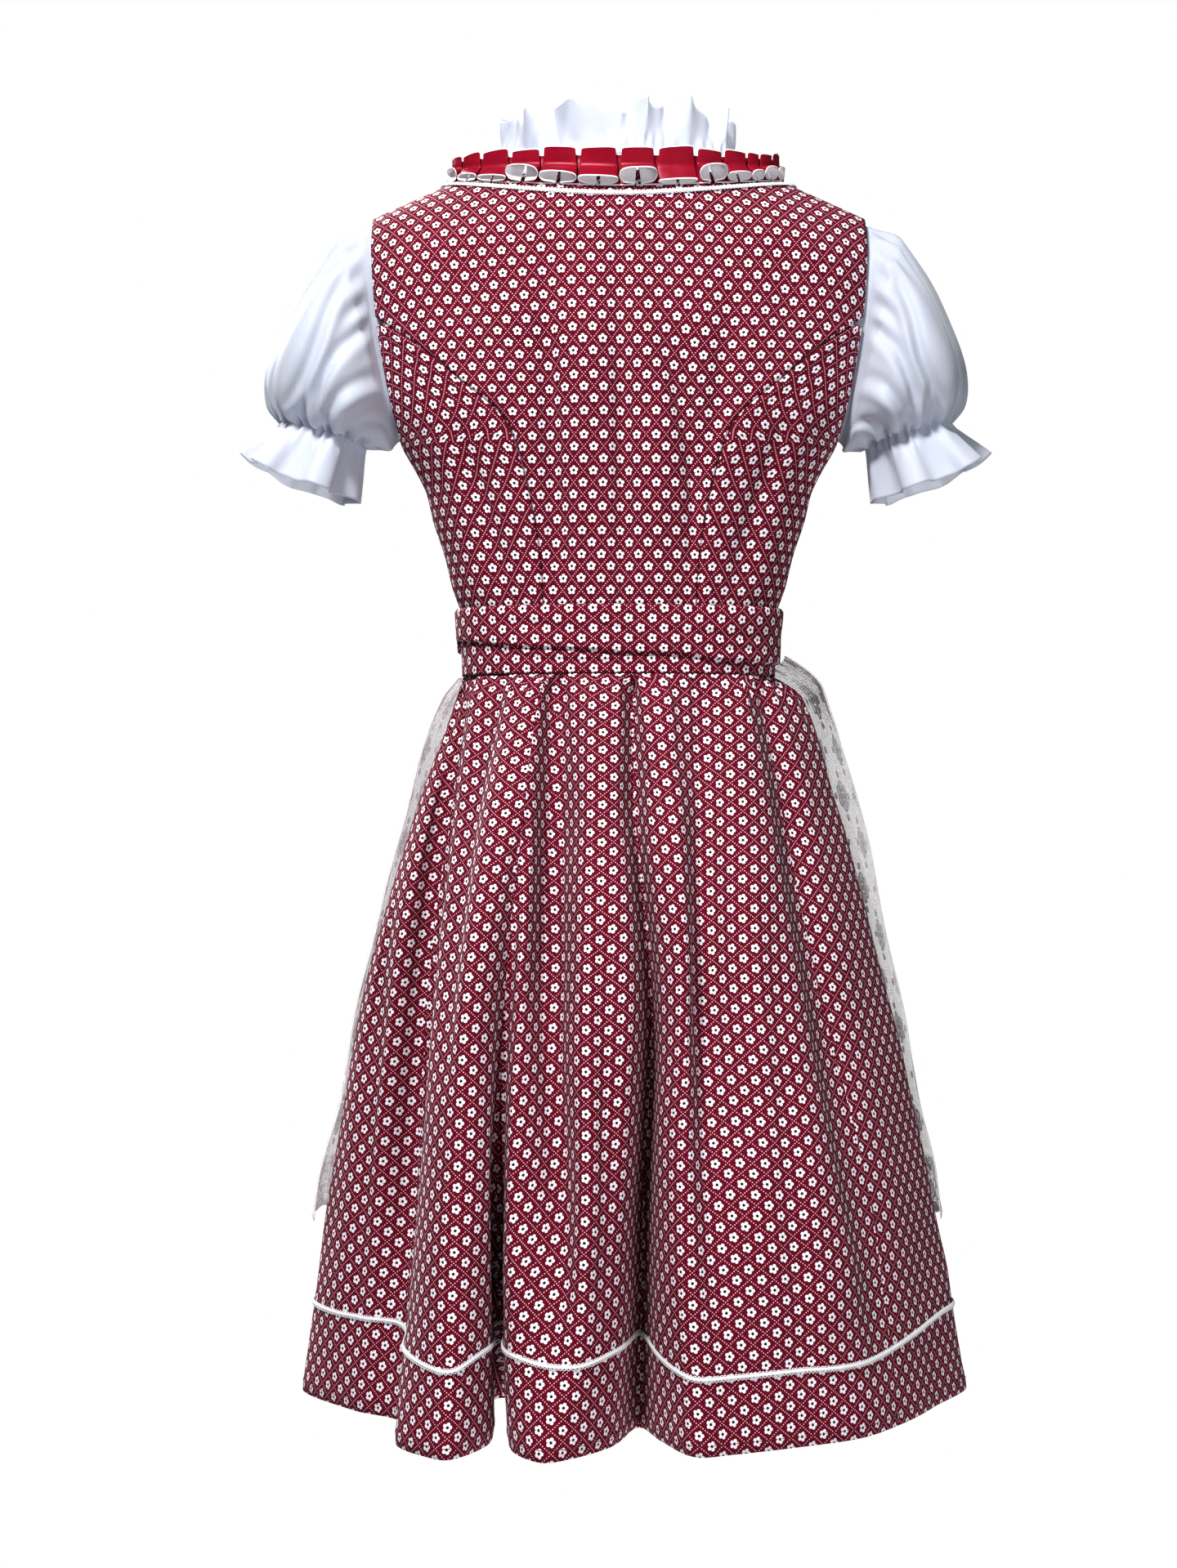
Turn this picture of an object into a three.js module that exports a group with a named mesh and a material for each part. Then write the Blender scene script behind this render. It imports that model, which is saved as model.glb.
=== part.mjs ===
// A dirndl set: sleeveless dress, puff sleeve blouse and tied apron, filled out as if worn.
// Sizes are in millimetres. +Z is up, the back faces +Y and the wearer's left is +X.
// The origin is the middle of the neck opening, level with the neck points of the shoulders.
import * as THREE from "three";

const seamGap = 0.3;
const bodiceWall = 1.5;
const skirtWall = 1.2;
const blouseWall = 1.0;
const sashWall = 1.2;
const apronWall = 1.0;
const ribbonWall = 1.0;

// Torso form: half width at the sides, depth at the back and depth at the front
const torsoRows = [
  { z: 60, half: 228, back: 50, front: 56 },
  { z: 0, half: 226, back: 66, front: 72 },
  { z: -60, half: 222, back: 88, front: 92 },
  { z: -120, half: 214, back: 98, front: 112 },
  { z: -155, half: 206, back: 99, front: 122 },
  { z: -190, half: 197, back: 98, front: 130 },
  { z: -222, half: 180, back: 96, front: 132 },
  { z: -257, half: 161, back: 92, front: 126 },
  { z: -284, half: 154, back: 89, front: 118 },
  { z: -311, half: 145, back: 86, front: 108 },
  { z: -339, half: 138, back: 85, front: 101 },
  { z: -366, half: 129, back: 84, front: 95 },
  { z: -412, half: 126, back: 85, front: 93 },
];
const torsoPower = 2.3;

// Shoulder line: neck point, slope of the seam and the depth of its rounding
const shoulder = { neckHalf: 133, slope: 0.44, round: 70 };
const waistZ = -412;
const armholeTop = -31.4;
const armholeBottom = -222;

// Armhole edge of the bodice, from the shoulder tip to the side seam
const armholeRows = [
  { z: -31.4, x: 204.5 },
  { z: -73, x: 203 },
  { z: -121, x: 199 },
  { z: -155, x: 194 },
  { z: -189, x: 187.5 },
  { z: -212, x: 182 },
  { z: -222, x: 180 },
];

// Shaping seam between the centre back and the side back
const backSeamRows = [
  { z: -121, x: 198.5 },
  { z: -150, x: 159 },
  { z: -175, x: 130 },
  { z: -200, x: 100 },
  { z: -215, x: 89 },
  { z: -250, x: 77 },
  { z: -290, x: 68.5 },
  { z: -330, x: 63 },
  { z: -412, x: 62 },
];

// Skirt fold lines on the back, from the left side to the right side, at five levels
const skirtLevels = [-430, -530, -665, -835, -1000];
const backFolds = [
  { name: "left side", x: [134, 170, 208, 239, 261], y: [0, 0, 0, 0, 15] },
  { name: "left swell", x: [132, 158, 184, 203, 214], y: [12, 42, 60, 70, 100] },
  { name: "left hollow", x: [127, 143, 159, 167, 174], y: [26, 62, 90, 110, 145] },
  { name: "lobe one edge", x: [116, 138, 153, 159, 166], y: [62, 92, 140, 175, 215] },
  { name: "lobe one crease", x: [101, 125, 135, 142, 150], y: [72, 116, 185, 225, 258] },
  { name: "lobe one ridge", x: [81, 102, 118, 125, 130], y: [93, 150, 205, 242, 273] },
  { name: "lobe one turn", x: [70, 84, 93, 96, 101], y: [96, 143, 190, 222, 225] },
  { name: "deep hollow start", x: [67, 81, 93, 97, 100], y: [93, 128, 118, 84, 62] },
  { name: "deep hollow end", x: [65, 77, 86, 88, 90], y: [91, 127, 115, 82, 60] },
  { name: "lobe two turn", x: [62, 73, 81, 80, 82], y: [91, 136, 185, 228, 248] },
  { name: "lobe two crease", x: [57, 56, 64, 48, 58], y: [85, 118, 168, 228, 281] },
  { name: "lobe two ridge", x: [22, 24, 27, 28, 37], y: [101, 152, 208, 246, 269] },
  { name: "lobe two edge", x: [1, 2, -6, 0, 12], y: [99, 148, 196, 220, 222] },
  { name: "centre hollow", x: [-11, -12, -24, -17, -14], y: [83, 117, 148, 160, 164] },
  { name: "lobe three turn", x: [-19, -24, -33, -29, -30], y: [97, 145, 192, 212, 212] },
  { name: "lobe three ridge", x: [-32, -42, -46, -48, -55], y: [101, 152, 206, 242, 264] },
  { name: "lobe three crease", x: [-60, -63, -66, -75, -84], y: [85, 130, 178, 228, 255] },
  { name: "lobe four ridge", x: [-86, -95, -107, -128, -138], y: [86, 135, 186, 224, 229] },
  { name: "lobe four edge", x: [-103, -120, -143, -172, -184], y: [77, 118, 158, 190, 200] },
  { name: "right hollow", x: [-114, -137, -163, -198, -217], y: [56, 84, 112, 134, 146] },
  { name: "right swell", x: [-134, -160, -190, -227, -252], y: [38, 60, 80, 88, 70] },
  { name: "right side", x: [-152, -184, -219, -257, -287], y: [0, 0, 0, 0, 0] },
];

// Front of the skirt: depth of the ridges and the share by which the hollows draw in
const skirtFrontRows = [
  { z: -412, depth: 96, hollow: 0 },
  { z: -430, depth: 104, hollow: 0.06 },
  { z: -530, depth: 146, hollow: 0.12 },
  { z: -665, depth: 188, hollow: 0.17 },
  { z: -835, depth: 224, hollow: 0.2 },
  { z: -1000, depth: 248, hollow: 0.22 },
];
const frontFolds = 12;
const skirtRowZ = [-412.3, -428, -470, -530, -600, -670, -750, -840, -927.5, -932.5, -1000];

// Sash round the waist: distance out from the bodice, with the upper layer folded over the lower
const sashRows = [
  { z: -357, out: 3.0 },
  { z: -363, out: 5.0 },
  { z: -387, out: 7.0 },
  { z: -391.5, out: 6.4 },
  { z: -393, out: 4.6 },
  { z: -411.6, out: 4.0 },
];

// Apron: half width on each side and depth in front
const apronRows = [
  { z: -412, left: 133, right: 134, front: 100 },
  { z: -430, left: 147, right: 168, front: 114 },
  { z: -475, left: 165, right: 187, front: 136 },
  { z: -530, left: 178, right: 203, front: 158 },
  { z: -600, left: 198, right: 218, front: 181 },
  { z: -665, left: 213, right: 231, front: 200 },
  { z: -720, left: 225, right: 243, front: 213 },
  { z: -775, left: 235, right: 253, front: 225 },
  { z: -830, left: 249, right: 264, front: 236 },
  { z: -862, left: 256, right: 270, front: 241 },
];

// Sleeve rings beyond the armhole: outer point, inner point and half depth of each ring
const sleeveRows = [
  { outX: 232, outZ: -47, inX: 187, inZ: -221, deep: 60, wave: 1 },
  { outX: 262, outZ: -84, inX: 191, inZ: -226, deep: 74, wave: 3 },
  { outX: 282, outZ: -124, inX: 196, inZ: -229, deep: 77, wave: 4 },
  { outX: 292, outZ: -160, inX: 201, inZ: -230, deep: 70, wave: 4 },
  { outX: 290, outZ: -186, inX: 206, inZ: -228, deep: 58, wave: 3 },
  { outX: 281, outZ: -201, inX: 212, inZ: -224, deep: 46, wave: 1 },
  { outX: 290, outZ: -212, inX: 213, inZ: -236, deep: 53, wave: 3 },
  { outX: 309, outZ: -230, inX: 217, inZ: -266, deep: 64, wave: 6 },
];
const sleeveColumns = 24;
const sleeveWaves = 6;

// Collar rows: height above the neck edge, distance out and size of the ruffle waves
const collarRows = [
  { up: 1.2, out: 0, wave: 0.4 },
  { up: 8, out: 0, wave: 1 },
  { up: 36, out: 7, wave: 6 },
];
const collarWaves = 18;
const collarHalf = 99;

// Ribbon box pleat: places across one pleat and how far each stands off the base
const pleatShape = [
  { across: -0.5, lift: 0 },
  { across: -0.465, lift: 0.86 },
  { across: -0.25, lift: 1 },
  { across: 0, lift: 1.06 },
  { across: 0.25, lift: 1 },
  { across: 0.465, lift: 0.86 },
];
const ribbonPleats = 26;
const ribbonHalfHeight = 16;

// A value from a table at height z, with a smooth curve through the rows
function lookup(rows, key, z) {
  const last = rows.length - 1;
  if (z >= rows[0].z) return rows[0][key];
  if (z <= rows[last].z) return rows[last][key];
  let i = 0;
  while (z < rows[i + 1].z) i++;
  const slope = (a, b) => (rows[b][key] - rows[a][key]) / (rows[b].z - rows[a].z);
  const startSlope = i === 0 ? slope(0, 1) : slope(i - 1, i + 1);
  const endSlope = i + 1 === last ? slope(i, i + 1) : slope(i, i + 2);
  return hermite(rows[i].z, rows[i + 1].z, rows[i][key], rows[i + 1][key], startSlope, endSlope, z);
}

function hermite(z0, z1, v0, v1, s0, s1, z) {
  const h = z1 - z0;
  const t = (z - z0) / h;
  const a = (1 + 2 * t) * (1 - t) * (1 - t);
  const b = t * (1 - t) * (1 - t);
  const c = t * t * (3 - 2 * t);
  const d = t * t * (t - 1);
  return a * v0 + b * h * s0 + c * v1 + d * h * s1;
}

function lerp(a, b, t) {
  return a + (b - a) * t;
}

function clamp(value, low, high) {
  return Math.min(high, Math.max(low, value));
}

// Height of the shoulder line above a place across the body
function shoulderZ(x) {
  return (shoulder.neckHalf - Math.abs(x)) * shoulder.slope;
}

function shoulderShare(below) {
  const t = clamp(below / shoulder.round, 0, 1);
  return Math.sqrt(1 - (1 - t) * (1 - t));
}

// Depth of the torso at a place, side 1 for the back and -1 for the front
function torsoY(x, z, side) {
  const half = lookup(torsoRows, "half", z);
  const depth = lookup(torsoRows, side > 0 ? "back" : "front", z);
  const share = clamp(1 - Math.pow(Math.abs(x) / half, torsoPower), 0, 1);
  return side * depth * Math.pow(share, 1 / torsoPower) * shoulderShare(shoulderZ(x) - z);
}

function torsoAngle(x, z) {
  const share = clamp(Math.abs(x) / lookup(torsoRows, "half", z), 0, 1);
  return Math.acos(Math.pow(share, torsoPower / 2));
}

// Place across a row, where s runs from the middle to the edge of a panel
function rowX(s, z, startX, edgeX) {
  const start = startX === 0 ? Math.PI / 2 : torsoAngle(startX, z);
  const angle = lerp(start, torsoAngle(edgeX, z), Math.abs(s));
  const x = lookup(torsoRows, "half", z) * Math.pow(Math.cos(angle), 2 / torsoPower);
  return Math.sign(s) * x;
}

function armholeX(z) {
  return z > armholeBottom ? lookup(armholeRows, "x", z) : lookup(torsoRows, "half", z);
}

function cross(a, b) {
  return new THREE.Vector3().crossVectors(a, b);
}

// Unit normals of a grid of points, from the neighbours of each
function gridNormals(grid, around) {
  const rows = grid.length;
  const columns = grid[0].length;
  return grid.map((row, r) =>
    row.map((point, c) => {
      const up = grid[Math.max(0, r - 1)][c];
      const down = grid[Math.min(rows - 1, r + 1)][c];
      const left = around ? row[(c + columns - 1) % columns] : row[Math.max(0, c - 1)];
      const right = around ? row[(c + 1) % columns] : row[Math.min(columns - 1, c + 1)];
      return cross(right.clone().sub(left), down.clone().sub(up)).normalize();
    }),
  );
}

// A closed wall of cloth from its outer points. Options: around closes each row into a ring,
// inward turns the normals, lift moves the points out, level drops one part of a normal,
// normals gives them where a wall shares those of a larger surface.
function clothWall(name, colour, grid, thickness, options = {}) {
  const around = options.around || false;
  const turn = options.inward ? -1 : 1;
  const lift = options.lift || 0;
  const rows = grid.length;
  const columns = grid[0].length;
  const normals = options.normals || gridNormals(grid, around);
  const outer = [];
  const inner = [];
  for (let r = 0; r < rows; r++) {
    for (let c = 0; c < columns; c++) {
      const normal = normals[r][c].clone().multiplyScalar(turn);
      const axis = options.level ? options.level(r, c) : null;
      if (axis) {
        normal[axis] = 0;
        normal.normalize();
      }
      outer.push(grid[r][c].clone().addScaledVector(normal, lift));
      inner.push(grid[r][c].clone().addScaledVector(normal, lift - thickness));
    }
  }
  const count = rows * columns;
  const faces = [];
  const quad = (a, b, c, d) => faces.push(a, b, c, a, c, d);
  const spans = around ? columns : columns - 1;
  const at = (r, c) => r * columns + (c % columns);
  for (let r = 0; r < rows - 1; r++) {
    for (let c = 0; c < spans; c++) {
      quad(at(r, c), at(r + 1, c), at(r + 1, c + 1), at(r, c + 1));
      quad(count + at(r, c), count + at(r, c + 1), count + at(r + 1, c + 1), count + at(r + 1, c));
    }
  }
  for (let c = 0; c < spans; c++) {
    quad(at(0, c), at(0, c + 1), count + at(0, c + 1), count + at(0, c));
    const end = rows - 1;
    quad(at(end, c), count + at(end, c), count + at(end, c + 1), at(end, c + 1));
  }
  if (!around) {
    for (let r = 0; r < rows - 1; r++) {
      const end = columns - 1;
      quad(at(r, 0), count + at(r, 0), count + at(r + 1, 0), at(r + 1, 0));
      quad(at(r, end), at(r + 1, end), count + at(r + 1, end), count + at(r, end));
    }
  }
  const points = outer.concat(inner);
  if (signedVolume(points, faces) < 0) faces.reverse();
  const geometry = new THREE.BufferGeometry().setFromPoints(points);
  geometry.setIndex(faces);
  geometry.computeVertexNormals();
  return addMesh(name, colour, geometry);
}

function signedVolume(points, faces) {
  let total = 0;
  for (let i = 0; i < faces.length; i += 3) {
    const side = cross(points[faces[i + 1]], points[faces[i + 2]]);
    total += points[faces[i]].dot(side);
  }
  return total / 6;
}

function addMesh(name, colour, geometry) {
  const material = new THREE.MeshStandardMaterial({ color: colour, roughness: 0.85 });
  const mesh = new THREE.Mesh(geometry, material);
  mesh.name = name;
  group.add(mesh);
  return mesh;
}

const group = new THREE.Group();
const wine = 0x8c1c38;
const satin = 0x6e0a22;
const white = 0xf2f2f4;
const lace = 0xe8e6ea;

function steps(count, low, high) {
  return Array.from({ length: count + 1 }, (_, i) => lerp(low, high, i / count));
}

// Neck edge heights for a neck opening: level at the back, scooped at the front
const dressNeck = { half: 133, back: -4, front: -110, edge: 0 };
const blouseNeck = { half: collarHalf, back: 3, front: -65, edge: 15 };

function topZ(x, neck, side) {
  if (Math.abs(x) >= neck.half) return shoulderZ(x);
  const share = 1 - Math.pow(x / neck.half, 2);
  return neck.edge + (side > 0 ? neck.back * share : neck.front * Math.pow(share, 0.8));
}

// Rows of a panel that runs from the neck and shoulder down. The first rows blend from the
// top edge into a level row, the rest are level.
function upperPanel(side, neck, columns, blend, levels, edgeAt) {
  const firstZ = levels[0];
  const grid = [];
  for (const t of blend) {
    grid.push(
      columns.map((s) => {
        const topX = rowX(s, -60, 0, armholeX(-60));
        const x = lerp(topX, rowX(s, firstZ, 0, edgeAt(firstZ)), t);
        const z = lerp(topZ(topX, neck, side), firstZ, t);
        const onShoulder = t === 0 && Math.abs(topX) > neck.half - 0.01;
        return new THREE.Vector3(x, onShoulder ? 0 : torsoY(x, z, side), z);
      }),
    );
  }
  for (const z of levels) {
    grid.push(columns.map((s) => {
      const x = rowX(s, z, 0, edgeAt(z));
      return new THREE.Vector3(x, torsoY(x, z, side), z);
    }));
  }
  return grid;
}

// Holds the seam gap where a front and a back panel meet
function openSeam(grid, side) {
  for (const row of grid) {
    for (const point of row) {
      if (Math.abs(point.y) < seamGap / 2) point.y = (side * seamGap) / 2;
    }
  }
  return grid;
}

const lowerLevels = [-150, -175, -195, -209, -217, -222, -250, -290, -330, -362, -411.7];
const centreLevels = [-60, -90, -121, -127, ...lowerLevels];

// Share across a panel for a place on its top edge
function shareAt(x) {
  const edge = torsoAngle(armholeX(-60), -60);
  return (Math.PI / 2 - torsoAngle(x, -60)) / (Math.PI / 2 - edge);
}

// Columns of a panel, close together where the neck edge turns into the shoulder
const dressColumns = [0, 40, 66, 94, 115, 128.5, 133, 158, 182].map(shareAt).concat(1);
const blouseColumns = [0, 40, 70, 90, 99, 133, 165].map(shareAt).concat(1);

function bothSides(columns) {
  const right = columns.slice(1);
  return [...right.map((s) => -s).reverse(), 1e-6, ...right];
}

// Shares of the way down from the shoulder line, close together where the cloth rounds over
const roundedRows = [0, 0.042, 0.164, 0.35, 0.65];

function backCentre() {
  const columns = bothSides(dressColumns);
  const edgeAt = (z) => (z > -121 ? armholeX(z) : lookup(backSeamRows, "x", z) - seamGap);
  const grid = upperPanel(1, dressNeck, columns, [0, 0.09, 0.34, 0.7], centreLevels, edgeAt);
  openSeam(grid, 1);
  const level = (r, c) => (r === 0 && Math.abs(columns[c]) >= shareAt(dressNeck.half) - 0.001 ? "y" : null);
  clothWall("bodice_back_centre", wine, grid, bodiceWall, { level });
}

function sideBack(name, sign) {
  const levels = [-127, ...lowerLevels];
  const grid = levels.map((z) => {
    const startX = lookup(backSeamRows, "x", z) + seamGap;
    return steps(4, 0, 1).map((s) => {
      const x = rowX(Math.max(s, 1e-6), z, startX, armholeX(z)) * sign;
      return new THREE.Vector3(x, torsoY(x, z, 1), z);
    });
  });
  openSeam(grid, 1);
  const level = (r, c) => (c === 4 && levels[r] <= armholeBottom ? "y" : null);
  clothWall(name, wine, grid, bodiceWall, { level, inward: sign < 0 });
}

function bodiceFront(name, sign) {
  const columns = [1e-6, ...dressColumns.slice(1)].map((s) => s * sign);
  const last = columns.length - 1;
  const levels = [-125, ...lowerLevels];
  const grid = upperPanel(-1, dressNeck, columns, roundedRows, levels, armholeX);
  for (const row of grid) row[0].x = (sign * seamGap) / 2;
  openSeam(grid, -1);
  const first = roundedRows.length;
  const onSide = (r, c) => c === last && r >= first && levels[r - first] <= armholeBottom;
  const onTop = (r, c) => r === 0 && Math.abs(columns[c]) >= shareAt(dressNeck.half) - 0.001;
  const level = (r, c) => {
    if (c === 0) return "x";
    return onTop(r, c) || onSide(r, c) ? "y" : null;
  };
  clothWall(name, wine, grid, bodiceWall, { level, inward: sign > 0 });
}

// Body of the blouse, inside the bodice
const blouseInset = 5;

function blousePanel(name, side) {
  const columns = bothSides(blouseColumns);
  const levels = [-125, ...lowerLevels.slice(0, 7), -275];
  const edgeAt = (z) => armholeX(z) - (z > armholeBottom ? 6.4 * fadeAt(z) : 0);
  const grid = upperPanel(side, blouseNeck, columns, roundedRows, levels, edgeAt);
  openSeam(grid, side);
  const edge = (c) => c === 0 || c === columns.length - 1;
  const first = roundedRows.length;
  const onSide = (r, c) => edge(c) && r >= first && levels[r - first] <= armholeBottom;
  const onTop = (r, c) => r === 0 && Math.abs(columns[c]) >= shareAt(blouseNeck.half) - 0.001;
  const level = (r, c) => (onTop(r, c) || onSide(r, c) ? "y" : null);
  clothWall(name, white, grid, blouseWall, { level, inward: side < 0, lift: -blouseInset });
}

function fadeAt(z) {
  return clamp((z - armholeBottom) / 5, 0, 1);
}

// A point on a line round the neck, wider by out and lower by drop at the middle
function neckPoint(angle, neck, out, drop) {
  const side = Math.sin(angle) >= 0 ? 1 : -1;
  const rise = Math.sin(angle) * Math.sin(angle);
  const x = (neck.half + out) * Math.cos(angle);
  const scoop = side > 0 ? neck.back * rise : neck.front * Math.pow(rise, 0.8);
  const z = neck.edge - shoulder.slope * out + scoop - drop * rise;
  return new THREE.Vector3(x, torsoY(x, z, side), z);
}

function neckNormal(angle, neck, out, drop) {
  const along = neckPoint(angle + 0.03, neck, out, drop).sub(neckPoint(angle - 0.03, neck, out, drop));
  const down = neckPoint(angle, neck, out + 4, drop + 4).sub(neckPoint(angle, neck, out, drop));
  return cross(down, along).normalize();
}

// Flat outward direction of the neck line
function neckOutward(angle, neck) {
  const along = neckPoint(angle + 0.03, neck, 0, 0).sub(neckPoint(angle - 0.03, neck, 0, 0));
  return new THREE.Vector3(along.y, -along.x, 0).normalize();
}

// Angles round the neck at equal lengths of the edge
function neckAngles(neck, shares) {
  const count = 720;
  const lengths = [0];
  for (let i = 1; i <= count; i++) {
    const from = neckPoint(((i - 1) / count) * 2 * Math.PI, neck, 0, 0);
    const to = neckPoint((i / count) * 2 * Math.PI, neck, 0, 0);
    lengths.push(lengths[i - 1] + from.distanceTo(to));
  }
  return shares.map((share) => {
    const target = share * lengths[count];
    let i = 0;
    while (i < count - 1 && lengths[i + 1] < target) i++;
    const part = (target - lengths[i]) / (lengths[i + 1] - lengths[i]);
    return ((i + part) / count) * 2 * Math.PI;
  });
}

function neckRibbon() {
  const shares = [];
  const lifts = [];
  for (let i = 0; i < ribbonPleats; i++) {
    for (const step of pleatShape) {
      shares.push((i + 0.5 + step.across) / ribbonPleats);
      lifts.push(step.lift);
    }
  }
  const angles = neckAngles(dressNeck, shares);
  const top = angles.map((angle, i) => {
    const point = neckPoint(angle, dressNeck, 1.5, 2);
    point.z += ribbonHalfHeight;
    return point.addScaledVector(neckOutward(angle, dressNeck), 1.4 + 6.5 * lifts[i]);
  });
  const middle = angles.map((angle, i) => {
    const normal = neckNormal(angle, dressNeck, 1.5, 2);
    return neckPoint(angle, dressNeck, 1.5, 2).addScaledVector(normal, 1.8 + 3.5 * lifts[i]);
  });
  const bottom = angles.map((angle, i) => {
    const normal = neckNormal(angle, dressNeck, 8, 10);
    return neckPoint(angle, dressNeck, 8, 10).addScaledVector(normal, 2.4 + 7.5 * lifts[i]);
  });
  const grid = [top, middle, bottom];
  clothWall("neck_ribbon", satin, grid, ribbonWall, { around: true, inward: true });
}

// Picot braid on the bodice, below the ribbon
function neckBraid() {
  const angles = neckAngles(dressNeck, steps(56, 0, 1).slice(0, 56));
  const line = (out, drop) =>
    angles.map((angle) => {
      const normal = neckNormal(angle, dressNeck, out, drop);
      return neckPoint(angle, dressNeck, out, drop).addScaledVector(normal, 2.2);
    });
  const grid = [line(11, 14), line(13.5, 17)];
  clothWall("neck_braid", white, grid, 1.2, { around: true, inward: true });
}

// Gathered stand collar of the blouse
function collar() {
  const count = collarWaves * 4;
  const angles = neckAngles(blouseNeck, steps(count, 0, 1).slice(0, count));
  const grid = collarRows.map((row) =>
    angles.map((angle, i) => {
      const outward = neckOutward(angle, blouseNeck);
      const point = neckPoint(angle, blouseNeck, 0, 0);
      const wave = row.wave * Math.cos((i / 4) * 2 * Math.PI);
      const uneven = 1 + 0.09 * Math.sin(3.1 * angle + 1) + 0.07 * Math.sin(7.3 * angle);
      point.z += row.up * (row.up > 30 ? uneven : 1);
      return point.addScaledVector(outward, row.out + wave - blouseInset * Math.abs(Math.sin(angle)));
    }),
  );
  clothWall("blouse_collar", white, grid, blouseWall, { around: true, inward: false });
}

// Puff sleeve with an elastic gather and a frill, cut in one
function sleeve(name, sign) {
  const middle = (armholeTop + armholeBottom) / 2;
  const reach = (armholeTop - armholeBottom) / 2;
  const ringAngles = steps(sleeveColumns, 0, 2 * Math.PI).slice(0, sleeveColumns);
  const mouth = (shift) =>
    ringAngles.map((angle) => {
      const z = middle + reach * Math.cos(angle);
      const side = Math.sin(angle) >= 0 ? 1 : -1;
      const depth = Math.abs(torsoY(armholeX(z), z, side));
      const y = side * Math.max(0, depth - 3.6 * Math.min(1, depth / 18));
      const inside = middle + (z - middle) * (1 - 6 / reach);
      return new THREE.Vector3(sign * (armholeX(z) + shift), y, inside);
    });
  const grid = [mouth(-5.4), mouth(3.5)];
  for (const row of sleeveRows) {
    grid.push(
      ringAngles.map((angle) => {
        const along = (1 + Math.cos(angle)) / 2;
        const ripple = 1 + (row.wave / row.deep) * Math.cos(sleeveWaves * angle + 0.6);
        const share = 0.5 + (along - 0.5) * ripple;
        const x = lerp(row.inX, row.outX, share);
        const z = lerp(row.inZ, row.outZ, share);
        return new THREE.Vector3(sign * x, row.deep * Math.sin(angle) * ripple, z);
      }),
    );
  }
  clothWall(name, white, grid, blouseWall, { around: true, inward: sign > 0 });
}

// Sash: the apron tie, wound round the waist in two folded layers
function sash() {
  const count = 32;
  const grid = sashRows.map((row) =>
    steps(count, 0, 2 * Math.PI).slice(0, count).map((angle) => {
      const side = Math.sin(angle) >= 0 ? 1 : -1;
      const half = lookup(torsoRows, "half", row.z) + row.out;
      const depth = lookup(torsoRows, side > 0 ? "back" : "front", row.z) + row.out;
      const x = half * Math.sign(Math.cos(angle)) * Math.pow(Math.abs(Math.cos(angle)), 2 / torsoPower);
      const y = depth * side * Math.pow(Math.abs(Math.sin(angle)), 2 / torsoPower);
      return new THREE.Vector3(x, y, row.z);
    }),
  );
  clothWall("sash", wine, grid, sashWall, { around: true, inward: true });
}

// Knot and ends of the tie at the centre front
function knot() {
  const geometry = new THREE.SphereGeometry(1, 16, 8);
  geometry.scale(17, 8, 19);
  geometry.translate(0, -109.6, -387);
  addMesh("sash_knot", wine, geometry);
}

function apronY(x, z) {
  const half = x > 0 ? lookup(apronRows, "left", z) : lookup(apronRows, "right", z);
  const share = Math.max(0, 1 - Math.pow(x / half, 2));
  return -lookup(apronRows, "front", z) * Math.sqrt(share);
}

function tieEnd(name, sign) {
  const grid = [-406.6, -425, -450, -490, -540, -590, -640].map((z, i) =>
    steps(4, 0, 1).map((t) => {
      const x = sign * (0.6 + 3 * i + t * Math.min(44, 16 + 9 * i));
      return new THREE.Vector3(x, apronY(x, z) - 7 - 2 * Math.cos(t * 9 + i), z);
    }),
  );
  clothWall(name, wine, grid, sashWall, { inward: sign > 0 });
}

// Point of the skirt waist in the direction of a fold line
function waistPoint(x, y) {
  const half = 129;
  const depth = y >= 0 ? 89 : 96;
  const length = Math.hypot(x, y);
  const across = Math.pow(Math.abs(x / length / half), torsoPower);
  const away = Math.pow(Math.abs(y / length / depth), torsoPower);
  const reach = Math.pow(across + away, -1 / torsoPower);
  return { x: (x / length) * reach, y: (y / length) * reach };
}

function foldRows(fold) {
  const waist = waistPoint(fold.x[0], fold.y[0]);
  const rows = skirtLevels.map((z, i) => ({ z, x: fold.x[i], y: fold.y[i] }));
  return [{ z: waistZ, ...waist }, ...rows];
}

const backFoldRows = backFolds.map(foldRows);

function sideHalf(index, z) {
  return Math.abs(lookup(backFoldRows[index], "x", z));
}

// Fold points of the whole skirt at a height: the back folds, then the front ones
function skirtFoldPoints(z) {
  const points = backFoldRows.map((rows) => new THREE.Vector3(lookup(rows, "x", z), lookup(rows, "y", z), z));
  const depth = lookup(skirtFrontRows, "depth", z);
  const hollow = lookup(skirtFrontRows, "hollow", z);
  for (let j = 1; j < frontFolds; j++) {
    const angle = Math.PI * (1 + j / frontFolds);
    const size = j % 2 ? 1 - hollow : 1;
    const half = Math.cos(angle) > 0 ? sideHalf(0, z) : sideHalf(backFolds.length - 1, z);
    points.push(new THREE.Vector3(half * Math.cos(angle) * size, depth * Math.sin(angle) * size, z));
  }
  return points;
}

// Places round the skirt are fold numbers: 0 is the left side, 21 the right side
function skirtRow(z, places) {
  const points = skirtFoldPoints(z);
  const curve = new THREE.CatmullRomCurve3(points, true, "centripetal");
  return places.map((place) => curve.getPoint(place / points.length));
}

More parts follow.
